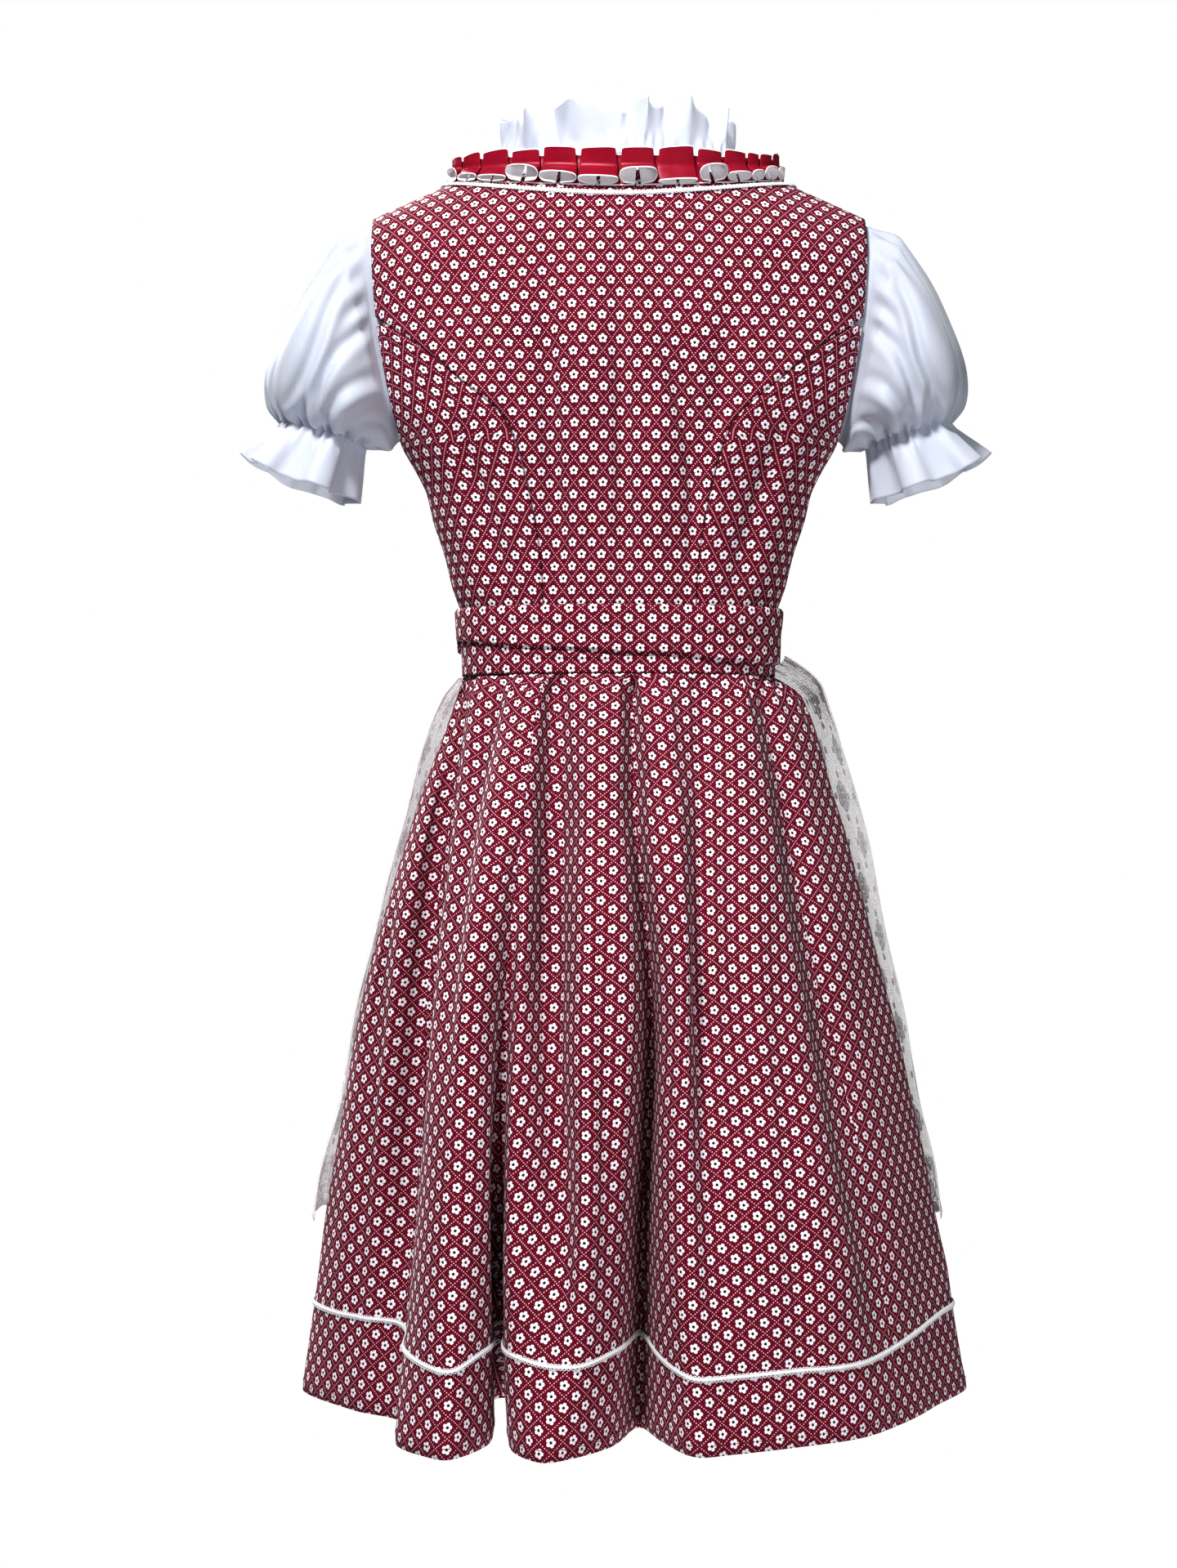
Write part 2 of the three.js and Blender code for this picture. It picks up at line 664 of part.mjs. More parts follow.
const backCount = (backFolds.length - 1) * 3;
const backPlaces = steps(backCount, 0, backFolds.length - 1);
const frontPlaces = steps(frontFolds * 3, 0, frontFolds).map((p) => p + backFolds.length - 1);
const ringPlaces = backPlaces.slice(0, -1).concat(frontPlaces.slice(0, -1));
const skirtRing = skirtRowZ.map((z) => skirtRow(z, ringPlaces));
const skirtNormals = gridNormals(skirtRing, true);

// Part of the skirt ring between two columns, parted from its neighbour at both seams
function skirtPanel(name, first, last, side) {
  const cut = (ring) => ring.map((row) => row.concat(row[0]).slice(first, last + 1).map((v) => v.clone()));
  const grid = cut(skirtRing);
  for (const row of grid) {
    for (const end of [row[0], row[row.length - 1]]) end.y += (side * seamGap) / 2;
  }
  clothWall(name, wine, grid, skirtWall, { normals: cut(skirtNormals), inward: true });
}

// Picot braid sewn round the skirt above the hem
function hemBraid() {
  const rows = [8, 9];
  const grid = rows.map((r) => skirtRing[r]);
  const normals = rows.map((r) => skirtNormals[r]);
  clothWall("hem_braid", white, grid, 1.0, { around: true, inward: true, lift: 1.4, normals });
}

// Lace apron over the front of the skirt, from side to side
function apron() {
  const angles = steps(30, -7, 187).map((degrees) => (degrees * Math.PI) / 180);
  const rowZ = [-412, -421, -440, -480, -530, -600, -665, -740, -810, -862];
  const grid = rowZ.map((z) =>
    angles.map((angle, i) => {
      const sideKey = Math.cos(angle) > 0 ? "left" : "right";
      const half = lookup(apronRows, sideKey, z);
      const front = lookup(apronRows, "front", z);
      const fall = clamp((-412 - z) / 450, 0, 1);
      const away = 1 + 0.02 * fall * (1 - Math.cos((i / 3) * Math.PI)) * Math.max(0, Math.sin(angle));
      const y = Math.sin(angle) > 0 ? -front * Math.sin(angle) * away : -120 * Math.sin(angle);
      return new THREE.Vector3(half * Math.cos(angle) * away, y, z);
    }),
  );
  clothWall("apron", lace, grid, apronWall, { inward: false });
}

backCentre();
sideBack("bodice_side_back_left", 1);
sideBack("bodice_side_back_right", -1);
bodiceFront("bodice_front_left", 1);
bodiceFront("bodice_front_right", -1);
skirtPanel("skirt_back", 0, backCount, 1);
skirtPanel("skirt_front", backCount, ringPlaces.length, -1);
hemBraid();
neckRibbon();
neckBraid();
blousePanel("blouse_back", 1);
blousePanel("blouse_front", -1);
collar();
sleeve("sleeve_left", 1);
sleeve("sleeve_right", -1);
sash();
knot();
tieEnd("tie_end_left", 1);
tieEnd("tie_end_right", -1);
apron();

export default group;
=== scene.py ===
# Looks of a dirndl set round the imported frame: dress, puff sleeve blouse and lace apron with tie.
# Tables and grids of points are in millimetres, and every mesh is made from them in metres.
# +Z is up, the back of the dress faces +Y and the camera, and the wearer's left is +X.
import math

import bpy
import numpy as np
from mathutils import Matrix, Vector


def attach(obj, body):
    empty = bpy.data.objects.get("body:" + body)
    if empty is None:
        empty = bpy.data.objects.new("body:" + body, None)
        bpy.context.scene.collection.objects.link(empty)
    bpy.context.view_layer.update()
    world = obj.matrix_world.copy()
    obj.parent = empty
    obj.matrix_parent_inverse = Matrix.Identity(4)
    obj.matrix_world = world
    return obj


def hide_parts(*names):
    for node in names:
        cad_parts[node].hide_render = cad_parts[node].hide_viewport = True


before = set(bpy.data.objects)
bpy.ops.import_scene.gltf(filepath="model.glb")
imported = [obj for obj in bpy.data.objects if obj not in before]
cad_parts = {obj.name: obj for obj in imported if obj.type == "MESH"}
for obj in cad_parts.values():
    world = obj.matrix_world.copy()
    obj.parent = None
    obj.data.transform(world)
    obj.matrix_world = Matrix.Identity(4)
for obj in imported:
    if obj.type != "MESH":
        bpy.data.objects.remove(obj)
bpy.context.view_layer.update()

MM = 0.001
FLAT_MAP = "cloth"
SEAM_GAP = 0.3
BODICE_WALL = 1.5
SKIRT_WALL = 1.2
BLOUSE_WALL = 1.0
SASH_WALL = 1.2
APRON_WALL = 0.6
RIBBON_WALL = 0.35


def columns(names, *rows):
    """Table with named columns, one array for each name."""
    return {name: np.array(values, float) for name, values in zip(names.split(), zip(*rows))}


# Torso form: half width at the sides, depth at the back and depth at the front
TORSO = columns(
    "z half back front",
    (60, 228, 50, 56),
    (0, 226, 66, 72),
    (-60, 222, 88, 92),
    (-120, 214, 98, 112),
    (-155, 206, 99, 122),
    (-190, 197, 98, 130),
    (-222, 180, 96, 132),
    (-257, 161, 92, 126),
    (-284, 154, 89, 118),
    (-311, 145, 86, 108),
    (-339, 138, 85, 101),
    (-366, 129, 84, 95),
    (-412, 126, 85, 93),
)
TORSO_POWER = 2.3

SHOULDER_HALF = 133
SHOULDER_SLOPE = 0.44
SHOULDER_ROUND = 70
ARMHOLE_TOP = -31.4
ARMHOLE_BOTTOM = -222
WAIST_Z = -412
BODICE_LOW = WAIST_Z + SEAM_GAP

# Height of the row that sets how far across each column of a panel lies, and of the first level
# row of the fronts and the blouse
SPREAD_Z = -60.0
LEVEL_Z = -125.0

# Armhole edge of the bodice, from the shoulder tip to the side seam
ARMHOLE = columns(
    "z x",
    (-31.4, 204.5),
    (-73, 203),
    (-121, 199),
    (-155, 194),
    (-189, 187.5),
    (-212, 182),
    (-222, 180),
)

# Shaping seam between the centre back and the side back
BACK_SEAM = columns(
    "z x",
    (-121, 198.5),
    (-150, 159),
    (-175, 130),
    (-200, 100),
    (-215, 89),
    (-250, 77),
    (-290, 68.5),
    (-330, 63),
    (-412, 62),
)
SEAM_TOP = BACK_SEAM["z"][0]

# Neck openings: level at the back, scooped at the front
DRESS_NECK = {"half": 133, "back": -4, "front": -110, "edge": 0}
BLOUSE_NECK = {"half": 99, "back": 3, "front": -65, "edge": 15}


def curve(table, key, at):
    """Smooth value of a table's column, by the table's first column, whose values fall."""
    heights = next(iter(table.values()))
    values = table[key]
    slopes = np.empty_like(values)
    slopes[1:-1] = (values[2:] - values[:-2]) / (heights[2:] - heights[:-2])
    slopes[0] = (values[1] - values[0]) / (heights[1] - heights[0])
    slopes[-1] = (values[-1] - values[-2]) / (heights[-1] - heights[-2])
    at = np.clip(at, heights[-1], heights[0])
    i = np.clip(np.searchsorted(-heights, -at, side="right") - 1, 0, len(heights) - 2)
    span = heights[i + 1] - heights[i]
    t = (at - heights[i]) / span
    start = (1 + 2 * t) * (1 - t) ** 2 * values[i] + t * (1 - t) ** 2 * span * slopes[i]
    end = t * t * (3 - 2 * t) * values[i + 1] + t * t * (t - 1) * span * slopes[i + 1]
    return start + end


def smooth(low, high, value):
    t = np.clip((value - low) / (high - low), 0, 1)
    return t * t * (3 - 2 * t)
def bell(value, width):
    """Soft bump of height 1 round 0."""
    return np.exp(-((value / width) ** 2))


def full_turn(count):
    """Angles at equal steps round a circle."""
    return np.arange(count) / count * 2 * math.pi


def joined_steps(start, *stretches):
    """Values from the start through the end of each stretch, which has that many points."""
    values = [[start]]
    for end, count in stretches:
        values.append(np.linspace(start, end, count)[1:])
        start = end
    return np.concatenate(values)
def unit(vectors):
    return vectors / np.maximum(np.linalg.norm(vectors, axis=-1, keepdims=True), 1e-9)


def points_of(x, y, z):
    return np.stack(np.broadcast_arrays(x, y, z), -1).astype(float)


def shoulder_z(x):
    return (SHOULDER_HALF - np.abs(x)) * SHOULDER_SLOPE


def torso_depth(z, side):
    return np.where(side > 0, curve(TORSO, "back", z), curve(TORSO, "front", z))


def torso_y(x, z, side):
    """Depth of the torso at a place, side 1 for the back and -1 for the front."""
    half = curve(TORSO, "half", z)
    depth = torso_depth(z, side)
    share = np.clip(1 - (np.abs(x) / half) ** TORSO_POWER, 0, 1)
    below = np.clip((shoulder_z(x) - z) / SHOULDER_ROUND, 0, 1)
    return side * depth * share ** (1 / TORSO_POWER) * np.sqrt(1 - (1 - below) ** 2)


def torso_angle(x, z):
    share = np.clip(np.abs(x) / curve(TORSO, "half", z), 0, 1)
    return np.arccos(share ** (TORSO_POWER / 2))


def row_x(s, z, start_x, edge_x):
    """Place across a row, where s runs from the start to the edge of a panel."""
    start = np.where(start_x == 0, math.pi / 2, torso_angle(start_x, z))
    angle = start + (torso_angle(edge_x, z) - start) * np.abs(s)
    return np.sign(s) * curve(TORSO, "half", z) * np.cos(angle) ** (2 / TORSO_POWER)


def armhole_x(z):
    return np.where(z > ARMHOLE_BOTTOM, curve(ARMHOLE, "x", z), curve(TORSO, "half", z))


def share_at(x):
    """Share across a panel for a place on its top edge."""
    edge = torso_angle(armhole_x(SPREAD_Z), SPREAD_Z)
    return (math.pi / 2 - torso_angle(x, SPREAD_Z)) / (math.pi / 2 - edge)


# Making of meshes


def grid_normals(grid, around=False):
    down = np.concatenate([grid[1:], grid[-1:]])
    up = np.concatenate([grid[:1], grid[:-1]])
    if around:
        right = np.roll(grid, -1, axis=1)
        left = np.roll(grid, 1, axis=1)
    else:
        right = np.concatenate([grid[:, 1:], grid[:, -1:]], axis=1)
        left = np.concatenate([grid[:, :1], grid[:, :-1]], axis=1)
    return unit(np.cross(right - left, down - up))


def add_piece(name, points, faces, materials, flats=None, material_index=None):
    """Mesh object from points in millimetres, with its places on the flat cloth."""
    mesh = bpy.data.meshes.new(name)
    mesh.from_pydata((points * MM).tolist(), [], faces.tolist())
    if flats is not None:
        layer = mesh.uv_layers.new(name=FLAT_MAP)
        layer.data.foreach_set("uv", (flats * MM).reshape(-1))
    for material in materials:
        mesh.materials.append(material)
    if material_index is not None:
        mesh.polygons.foreach_set("material_index", material_index)
    mesh.polygons.foreach_set("use_smooth", np.ones(len(mesh.polygons), bool))
    mesh.update()
    piece = bpy.data.objects.new(name, mesh)
    bpy.context.scene.collection.objects.link(piece)
    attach(piece, "root")
    return piece


def volume_sign(points, faces):
    a, b, c, d = (points[faces[:, i]] for i in range(4))
    return np.sum(a * np.cross(b, c)) + np.sum(a * np.cross(c, d))


def spans_of(flat):
    """Flat places of both ends of each span of a row, from the places of its points."""
    return np.stack([flat[:, :-1], flat[:, 1:]], axis=2)
def flat_grid(p, q):
    """Flat places of each span's ends, from the two places of each point."""
    return spans_of(np.stack(np.broadcast_arrays(p, q), -1))


def cloth_wall(
    name, grid, flat, thickness, materials, around=False, turn=1, lift=0.0, level=(), normals=None
):
    """Closed wall of cloth from its outer points. flat holds the flat places of each span's two
    ends, level the parts of the normals that are dropped, as pairs of places and axis."""
    rows, count = grid.shape[:2]
    normal = (grid_normals(grid, around) if normals is None else normals) * turn
    for places, axis in level:
        normal[..., axis] = np.where(places, 0, normal[..., axis])
    normal = unit(normal)
    outer = grid + normal * lift
    inner = outer - normal * thickness
    points = np.concatenate([outer.reshape(-1, 3), inner.reshape(-1, 3)])
    under = rows * count
    spans = count if around else count - 1
    index = np.arange(under).reshape(rows, count)
    left = index[:, np.arange(spans)]
    right = index[:, (np.arange(spans) + 1) % count]
    outside = np.stack([left[:-1], left[1:], right[1:], right[:-1]], -1).reshape(-1, 4)
    ends = [flat[:-1, :, 0], flat[1:, :, 0], flat[1:, :, 1], flat[:-1, :, 1]]
    outside_flat = np.stack(ends, -2).reshape(-1, 4, 2)
    faces = [outside, outside[:, ::-1] + under]
    flats = [outside_flat, outside_flat[:, ::-1]]

    def rim(first, second, first_flat, second_flat):
        faces.append(np.stack([first, second, second + under, first + under], -1))
        flats.append(np.stack([first_flat, second_flat, second_flat, first_flat], -2))

    rim(left[0], right[0], flat[0, :, 0], flat[0, :, 1])
    rim(right[-1], left[-1], flat[-1, :, 1], flat[-1, :, 0])
    if not around:
        rim(index[1:, 0], index[:-1, 0], flat[1:, 0, 0], flat[:-1, 0, 0])
        rim(index[:-1, -1], index[1:, -1], flat[:-1, -1, 1], flat[1:, -1, 1])
    outside_count = len(outside)
    faces = np.concatenate(faces)
    flats = np.concatenate(flats)
    if volume_sign(points, faces) < 0:
        faces = faces[:, ::-1]
        flats = flats[:, ::-1]
    backed = np.zeros(len(faces), int)
    if len(materials) > 1:
        backed[outside_count:] = 1
        backed[:spans] = 1
        backed[outside_count - spans : outside_count] = 1
    return add_piece(name, points, faces, materials, flats, backed)


def placed_copies(shape, faces, origins, axes):
    """Points and faces of many small copies of a shape. axes holds the three axes of each copy."""
    points = origins[:, None, :] + np.einsum("pk,nkj->npj", shape, axes)
    offsets = (np.arange(len(origins)) * len(shape))[:, None, None]
    return points.reshape(-1, 3), (faces[None] + offsets).reshape(-1, faces.shape[1])


def stands_for(piece, slot, *nodes):
    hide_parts(*nodes)


def lay_flat(grid, middle):
    """Places on the flat cloth: across from the middle column, and up from the lowest row."""
    step = np.diff(grid, axis=1)
    across = np.hypot(step[..., 0], step[..., 1])
    start = np.zeros((len(grid), 1))
    p = np.concatenate([start, np.cumsum(across, axis=1)], axis=1)
    p = p - p[:, middle : middle + 1]
    rise = np.hypot(np.diff(grid[..., 1], axis=0), np.diff(grid[..., 2], axis=0))
    lowest = np.zeros((1, grid.shape[1]))
    q = np.concatenate([np.cumsum(rise[::-1], axis=0)[::-1], lowest])
    return np.stack([p, q], -1)


# Materials


class Value:
    """Output of a material's node. Numbers can be used in formulas."""

    def __init__(self, shader, socket):
        self.shader = shader
        self.socket = socket

    def __add__(self, other):
        return self.shader.math("ADD", self, other)

    def __sub__(self, other):
        return self.shader.math("SUBTRACT", self, other)

    def __mul__(self, other):
        return self.shader.math("MULTIPLY", self, other)

    def __truediv__(self, other):
        return self.shader.math("DIVIDE", self, other)

    def __or__(self, other):
        """Two masks joined: the larger of both."""
        return self.shader.math("MAXIMUM", self, other)

    def size(self):
        return self.shader.math("ABSOLUTE", self)

    def from_nearest(self):
        """How far the number lies from the nearest whole number."""
        return self - self.shader.math("ROUND", self)

    def ramp(self, low, high, start=0.0, end=1.0):
        """Number that runs smoothly from start at low to end at high."""
        inputs = {"Value": self, "From Min": low, "From Max": high, "To Min": start, "To Max": end}
        return self.shader.node("MapRange", inputs, "Result", interpolation_type="SMOOTHSTEP")


class Shader:
    """Node tree of one material, with short calls for its nodes."""

    def __init__(self, name):
        self.material = bpy.data.materials.new(name)
        self.material.use_nodes = True
        self.tree = self.material.node_tree
        self.tree.nodes.clear()
        output = self.tree.nodes.new("ShaderNodeOutputMaterial")
        self.surface = self.tree.nodes.new("ShaderNodeBsdfPrincipled")
        self.tree.links.new(self.surface.outputs[0], output.inputs["Surface"])

    def feed(self, value, socket):
        if isinstance(value, Value):
            self.tree.links.new(value.socket, socket)
        else:
            socket.default_value = value

    def node(self, kind, inputs, output=0, **settings):
        """Output of a new node, with numbers or other outputs on its inputs."""
        node = self.tree.nodes.new(f"ShaderNode{kind}")
        for name, value in settings.items():
            setattr(node, name, value)
        for key, value in inputs.items():
            self.feed(value, node.inputs[key])
        return Value(self, node.outputs[output])

    def math(self, operation, first, second=0.0):
        return self.node("Math", {0: first, 1: second}, operation=operation)

    def mix(self, factor, first, second):
        return self.node("Mix", {0: factor, 6: first, 7: second}, 2, data_type="RGBA")

    def flat_map(self):
        """Place on the flat cloth in metres, and its two numbers."""
        flat = self.node("UVMap", {}, uv_map=FLAT_MAP)
        return flat, self.node("SeparateXYZ", {0: flat}, 0), self.node("SeparateXYZ", {0: flat}, 1)

    def object_place(self):
        return self.node("TexCoord", {}, "Object")

    def noise(self, place, scale, detail=2.0, roughness=0.5):
        inputs = {"Vector": place, "Scale": scale, "Detail": detail, "Roughness": roughness}
        return self.node("TexNoise", inputs, "Fac")

    def waves(self, place, direction, scale, distortion):
        inputs = {"Vector": place, "Scale": scale, "Distortion": distortion, "Detail": 1.0}
        return self.node("TexWave", inputs, "Fac", bands_direction=direction)

    def bump(self, height, strength, distance):
        inputs = {"Strength": strength, "Distance": distance, "Height": height}
        self.feed(self.node("Bump", inputs), self.surface.inputs["Normal"])

    def set(self, **values):
        for name, value in values.items():
            self.feed(value, self.surface.inputs[name.replace("_", " ")])

    def weave(self, place, thread):
        """Height of a plain weave with threads of that pitch in metres."""
        across = self.waves(place, "X", 0.5 / thread, 0.4)
        along = self.waves(place, "Y", 0.5 / thread, 0.4)
        return across * along + self.noise(place, 1 / (thread * 6), 3.0) * 0.5


# Print of small flowers in dotted diamonds, sizes in metres
CELL_ACROSS = 0.016
CELL_UP = 0.0191
PETALS = 5
PETAL_OUT = 0.0024
PETAL_RADIUS = 0.00146
FLOWER_EYE = 0.00105
DOT_RADIUS = 0.00048
DOTS_PER_SIDE = 6
PRINT_SOFT = 0.00016
HALO_WIDTH = 0.0008

# How light spreads inside the white cloths
SOFT_LIGHT = {"Subsurface_Scale": 0.004, "Subsurface_Radius": (1.0, 1.0, 1.0)}


def across_and_up(ds, dt):
    """Place in metres, from numbers that count the diamonds both ways."""
    return (ds + dt) * (CELL_ACROSS / 2), (ds - dt) * (CELL_UP / 2)


def length_of(across, up):
    return across.shader.math("SQRT", across * across + up * up)


def inside(distance, radius):
    """Mask of what lies within a radius, with a soft edge."""
    return distance.ramp(radius - PRINT_SOFT, radius + PRINT_SOFT, 1.0, 0.0)


def dot_line(s, t):
    """Mask of the dots on the diamond sides where s is halfway between whole numbers."""
    ds = (s - 0.5).from_nearest()
    dt = ((t - 0.5) * DOTS_PER_SIDE).from_nearest() / DOTS_PER_SIDE
    return inside(length_of(*across_and_up(ds, dt)), DOT_RADIUS)


def petal_distance(across, up, petals, out):
    """Distance from the middle of the nearest petal, and from the middle of the flower."""
    shader = across.shader
    turn = 2 * math.pi / petals
    angle = (shader.math("ARCTAN2", across, up) / turn).from_nearest() * turn
    radius = length_of(across, up)
    along = radius * shader.math("COSINE", angle) - out
    aside = radius * shader.math("SINE", angle)
    return length_of(along, aside), radius


def print_material():
    """Wine red cotton with the flower print."""
    shader = Shader("print_cotton")
    flat, p, q = shader.flat_map()
    cells_across = p / CELL_ACROSS
    cells_up = q / CELL_UP
    s = cells_across + cells_up
    t = cells_across - cells_up
    across, up = across_and_up(s.from_nearest(), t.from_nearest())
    petal, radius = petal_distance(across, up, PETALS, PETAL_OUT)
    halo = petal.ramp(PETAL_RADIUS, PETAL_RADIUS + HALO_WIDTH, 0.5, 0.0)
    ground = shader.mix(shader.noise(flat, 9.0, 3.0), (0.14, 0.004, 0.018, 1), (0.20, 0.007, 0.030, 1))
    shaded = shader.mix(halo, ground, (0.06, 0.003, 0.012, 1))
    dotted = shader.mix(dot_line(s, t) | dot_line(t, s), shaded, (0.85, 0.62, 0.72, 1))
    flowered = shader.mix(inside(petal, PETAL_RADIUS), dotted, (0.93, 0.86, 0.92, 1))
    colour = shader.mix(inside(radius, FLOWER_EYE), flowered, (0.02, 0.012, 0.022, 1))
    shader.set(Base_Color=colour, Roughness=0.78, Specular_IOR_Level=0.08)
    shader.set(Sheen_Weight=0.02, Sheen_Roughness=0.5, Sheen_Tint=(0.9, 0.6, 0.65, 1))
    shader.bump(shader.weave(flat, 0.0007), 0.3, 0.0002)
    return shader.material


def satin_material():
    shader = Shader("wine_satin")
    flat = shader.flat_map()[0]
    cloudy = shader.noise(flat, 60.0)
    colour = shader.mix(cloudy, (0.27, 0.004, 0.022, 1), (0.37, 0.009, 0.038, 1))
    shader.set(Base_Color=colour, Roughness=cloudy.ramp(0.3, 0.7, 0.3, 0.42))
    shader.set(Anisotropic=0.5, Specular_Tint=(1.0, 0.55, 0.6, 1), Specular_IOR_Level=0.45)
    shader.bump(shader.waves(flat, "X", 900.0, 0.5), 0.15, 0.0001)
    return shader.material


def pale_material(name, low, high, roughness, thread, strength, subsurface=0.0):
    """White cloth or thread, with faint mottling and a fine weave."""
    shader = Shader(name)
    place = shader.object_place()
    colour = shader.mix(shader.noise(place, 30.0, 3.0), low, high)
    shader.set(Base_Color=colour, Roughness=roughness, Sheen_Weight=0.15, Specular_IOR_Level=0.3)
    if subsurface:
        shader.set(Subsurface_Weight=subsurface, **SOFT_LIGHT)
    shader.bump(shader.noise(place, 1 / (thread * 4), 3.0, 0.6), strength, 0.0002)
    return shader.material


# Lace: sprigs on a net and a close border, sizes in metres
SPRIG_ACROSS = 0.062
SPRIG_UP = 0.078
LACE_BORDER = 0.055
LACE_WIDTH = 0.86


def sprig(p, q, shift):
    """Mask of six petals drawn by their edges, with leaves round them."""
    across = (p / SPRIG_ACROSS + shift).from_nearest() * SPRIG_ACROSS
    up = (q / SPRIG_UP + shift).from_nearest() * SPRIG_UP
    petal, radius = petal_distance(across, up, 6, 0.0085)
    leaf = petal_distance(up, across, 4, 0.0185)[0]
    edge = (petal - 0.0042).size().ramp(0.0005, 0.0012, 1.0, 0.0)
    filled = petal.ramp(0.0036, 0.0042, 0.6, 0.0)
    leaves = leaf.ramp(0.0026, 0.0034, 1.0, 0.0)
    heart = radius.ramp(0.0022, 0.003, 1.0, 0.0)
    return edge | filled | leaves | heart


def lace_material():
    """White net with embroidered sprigs and edges. The flat map runs across from the middle of the
    apron, and up from its hem."""
    shader = Shader("white_lace")
    flat, p, q = shader.flat_map()
    vine = (shader.noise(flat, 150.0, 1.0) - 0.5).size().ramp(0.02, 0.05, 1.0, 0.0)
    border = q.ramp(LACE_BORDER * 0.8, LACE_BORDER, 1.0, 0.0) * (vine | 0.35)
    side = shader.math("SUBTRACT", LACE_WIDTH / 2, p.size())
    wavy = side + shader.math("SINE", q * 420.0) * 0.0016
    edge = shader.math("MINIMUM", wavy, q).ramp(0.004, 0.006, 1.0, 0.0)
    thread = sprig(p, q, 0.0) | sprig(p, q, 0.5) | border | edge
    net = shader.noise(flat, 700.0, 1.0)
    cover = net.ramp(0.35, 0.65, 0.20, 0.42) | thread * 0.97
    colour = shader.mix(thread, (0.82, 0.79, 0.83, 1), (0.93, 0.91, 0.93, 1))
    shader.set(Base_Color=colour, Alpha=cover, Roughness=0.8, Sheen_Weight=0.3)
    shader.set(Subsurface_Weight=0.8, Specular_IOR_Level=0.25, **SOFT_LIGHT)
    shader.bump(thread + net * 0.3, 0.5, 0.0004)
    return shader.material


PRINT = print_material()
SATIN = satin_material()
RIBBON_BACK = pale_material("ribbon_back", (0.93, 0.91, 0.93, 1), (0.97, 0.95, 0.97, 1), 0.6, 0.0005, 0.2)
BLOUSE = pale_material(
    "blouse_cotton", (0.57, 0.605, 0.71, 1), (0.63, 0.665, 0.77, 1), 0.62, 0.0005, 0.2, 0.6
)
BRAID = pale_material("braid_thread", (0.90, 0.90, 0.92, 1), (0.96, 0.96, 0.98, 1), 0.75, 0.0004, 0.4)
THREAD = pale_material("wine_thread", (0.11, 0.006, 0.02, 1), (0.17, 0.010, 0.03, 1), 0.6, 0.0004, 0.3)
LACE = lace_material()


# Soft creases, each a trough through three places: depth below 0 is a ridge
BACK_CREASES = columns(
    "x0 z0 x1 z1 x2 z2 width depth",
    (61, -60, 55, -225, 46, -376, 8.5, 10.0),
    (1, -40, -2, -210, -4, -376, 8.5, 10.0),
    (-20, -100, -60, -255, -56, -376, 8.5, 9.5),
    (-90, -100, -80, -190, -66, -262, 10, 5.0),
    (-104, -170, -94, -230, -84, -310, 10, 3.0),
    (24, -210, 25, -290, 27, -368, 6, 2.4),
    (30, -120, 28, -250, 30, -366, 9, -3.0),
    (-30, -170, -32, -265, -28, -362, 9, -3.0),
    (98, -90, 100, -170, 92, -250, 13, -2.0),
    (120, -60, 128, -95, 138, -140, 12, 2.4),
    (-128, -62, -134, -100, -146, -150, 13, 2.4),
)
FRONT_CREASES = columns(
    "x0 z0 x1 z1 x2 z2 width depth",
    (24, -150, 26, -230, 30, -330, 14, 1.8),
    (112, -120, 104, -170, 96, -215, 12, 1.6),
    (86, -225, 76, -290, 70, -357, 1.6, 1.2),
    (54, -250, 50, -300, 47, -356, 9, -1.4),
    (118, -250, 104, -300, 96, -355, 10, 1.5),
)
SIDE_CREASES = columns(
    "x0 z0 x1 z1 x2 z2 width depth",
    (134, -205, 113, -270, 91, -356, 9, 5.0),
    (150, -190, 134, -270, 112, -356, 9, -1.6),
    (172, -195, 150, -250, 126, -300, 8, 1.2),
)


def creases(table, x, z, mirrored=False):
    """Sum of the troughs at each place."""
    total = np.zeros(np.broadcast(x, z).shape)
    for x0, z0, x1, z1, x2, z2, width, depth in zip(*(table[key] for key in table)):
        t = np.clip((z - z0) / (z2 - z0), 0, 1)
        bend = (z1 - z0) / (z2 - z0)
        middle = x1 - (x0 + (x2 - x0) * bend)
        line = x0 + (x2 - x0) * t + middle * t * (1 - t) / (bend * (1 - bend))
        fade = np.sin(math.pi * t) ** 0.8
        place = np.abs(x) if mirrored else x
        total = total - depth * fade * bell(place - line, width)
    return total


def ripple(x, z, size, seed):
    """Slow uneven waves of cloth that isn't pulled tight."""
    first = np.sin(x / (2.3 * size) + 1.3 * seed + np.sin(z / (1.7 * size) + seed))
    second = np.sin(z / (2.9 * size) + 0.7 * seed + 1.4 * np.sin(x / (1.9 * size) + 2.0 * seed))
    return 0.5 * (first + second * np.cos((x + z) / (3.1 * size) + seed))


def moved_out(grid, amount, around=False, turn=1):
    return grid + grid_normals(grid, around) * turn * amount[..., None]


# Bodice and blouse body

NECK_COLUMNS = 36
SHOULDER_COLUMNS = 15
CURVED_ROWS = 24


def panel_shares(neck_half):
    corner = share_at(neck_half)
    inner = np.linspace(0, corner, NECK_COLUMNS)
    outer = np.linspace(corner, 1, SHOULDER_COLUMNS)[1:]
    return np.concatenate([inner, outer])


def both_sides(shares):
    right = shares[1:]
    return np.concatenate([-right[::-1], [1e-6], right])


def top_z(x, neck, side):
    share = np.clip(1 - (x / neck["half"]) ** 2, 0, 1)
    scoop = neck["back"] * share if side > 0 else neck["front"] * share**0.8
    return np.where(np.abs(x) >= neck["half"], shoulder_z(x), neck["edge"] + scoop)


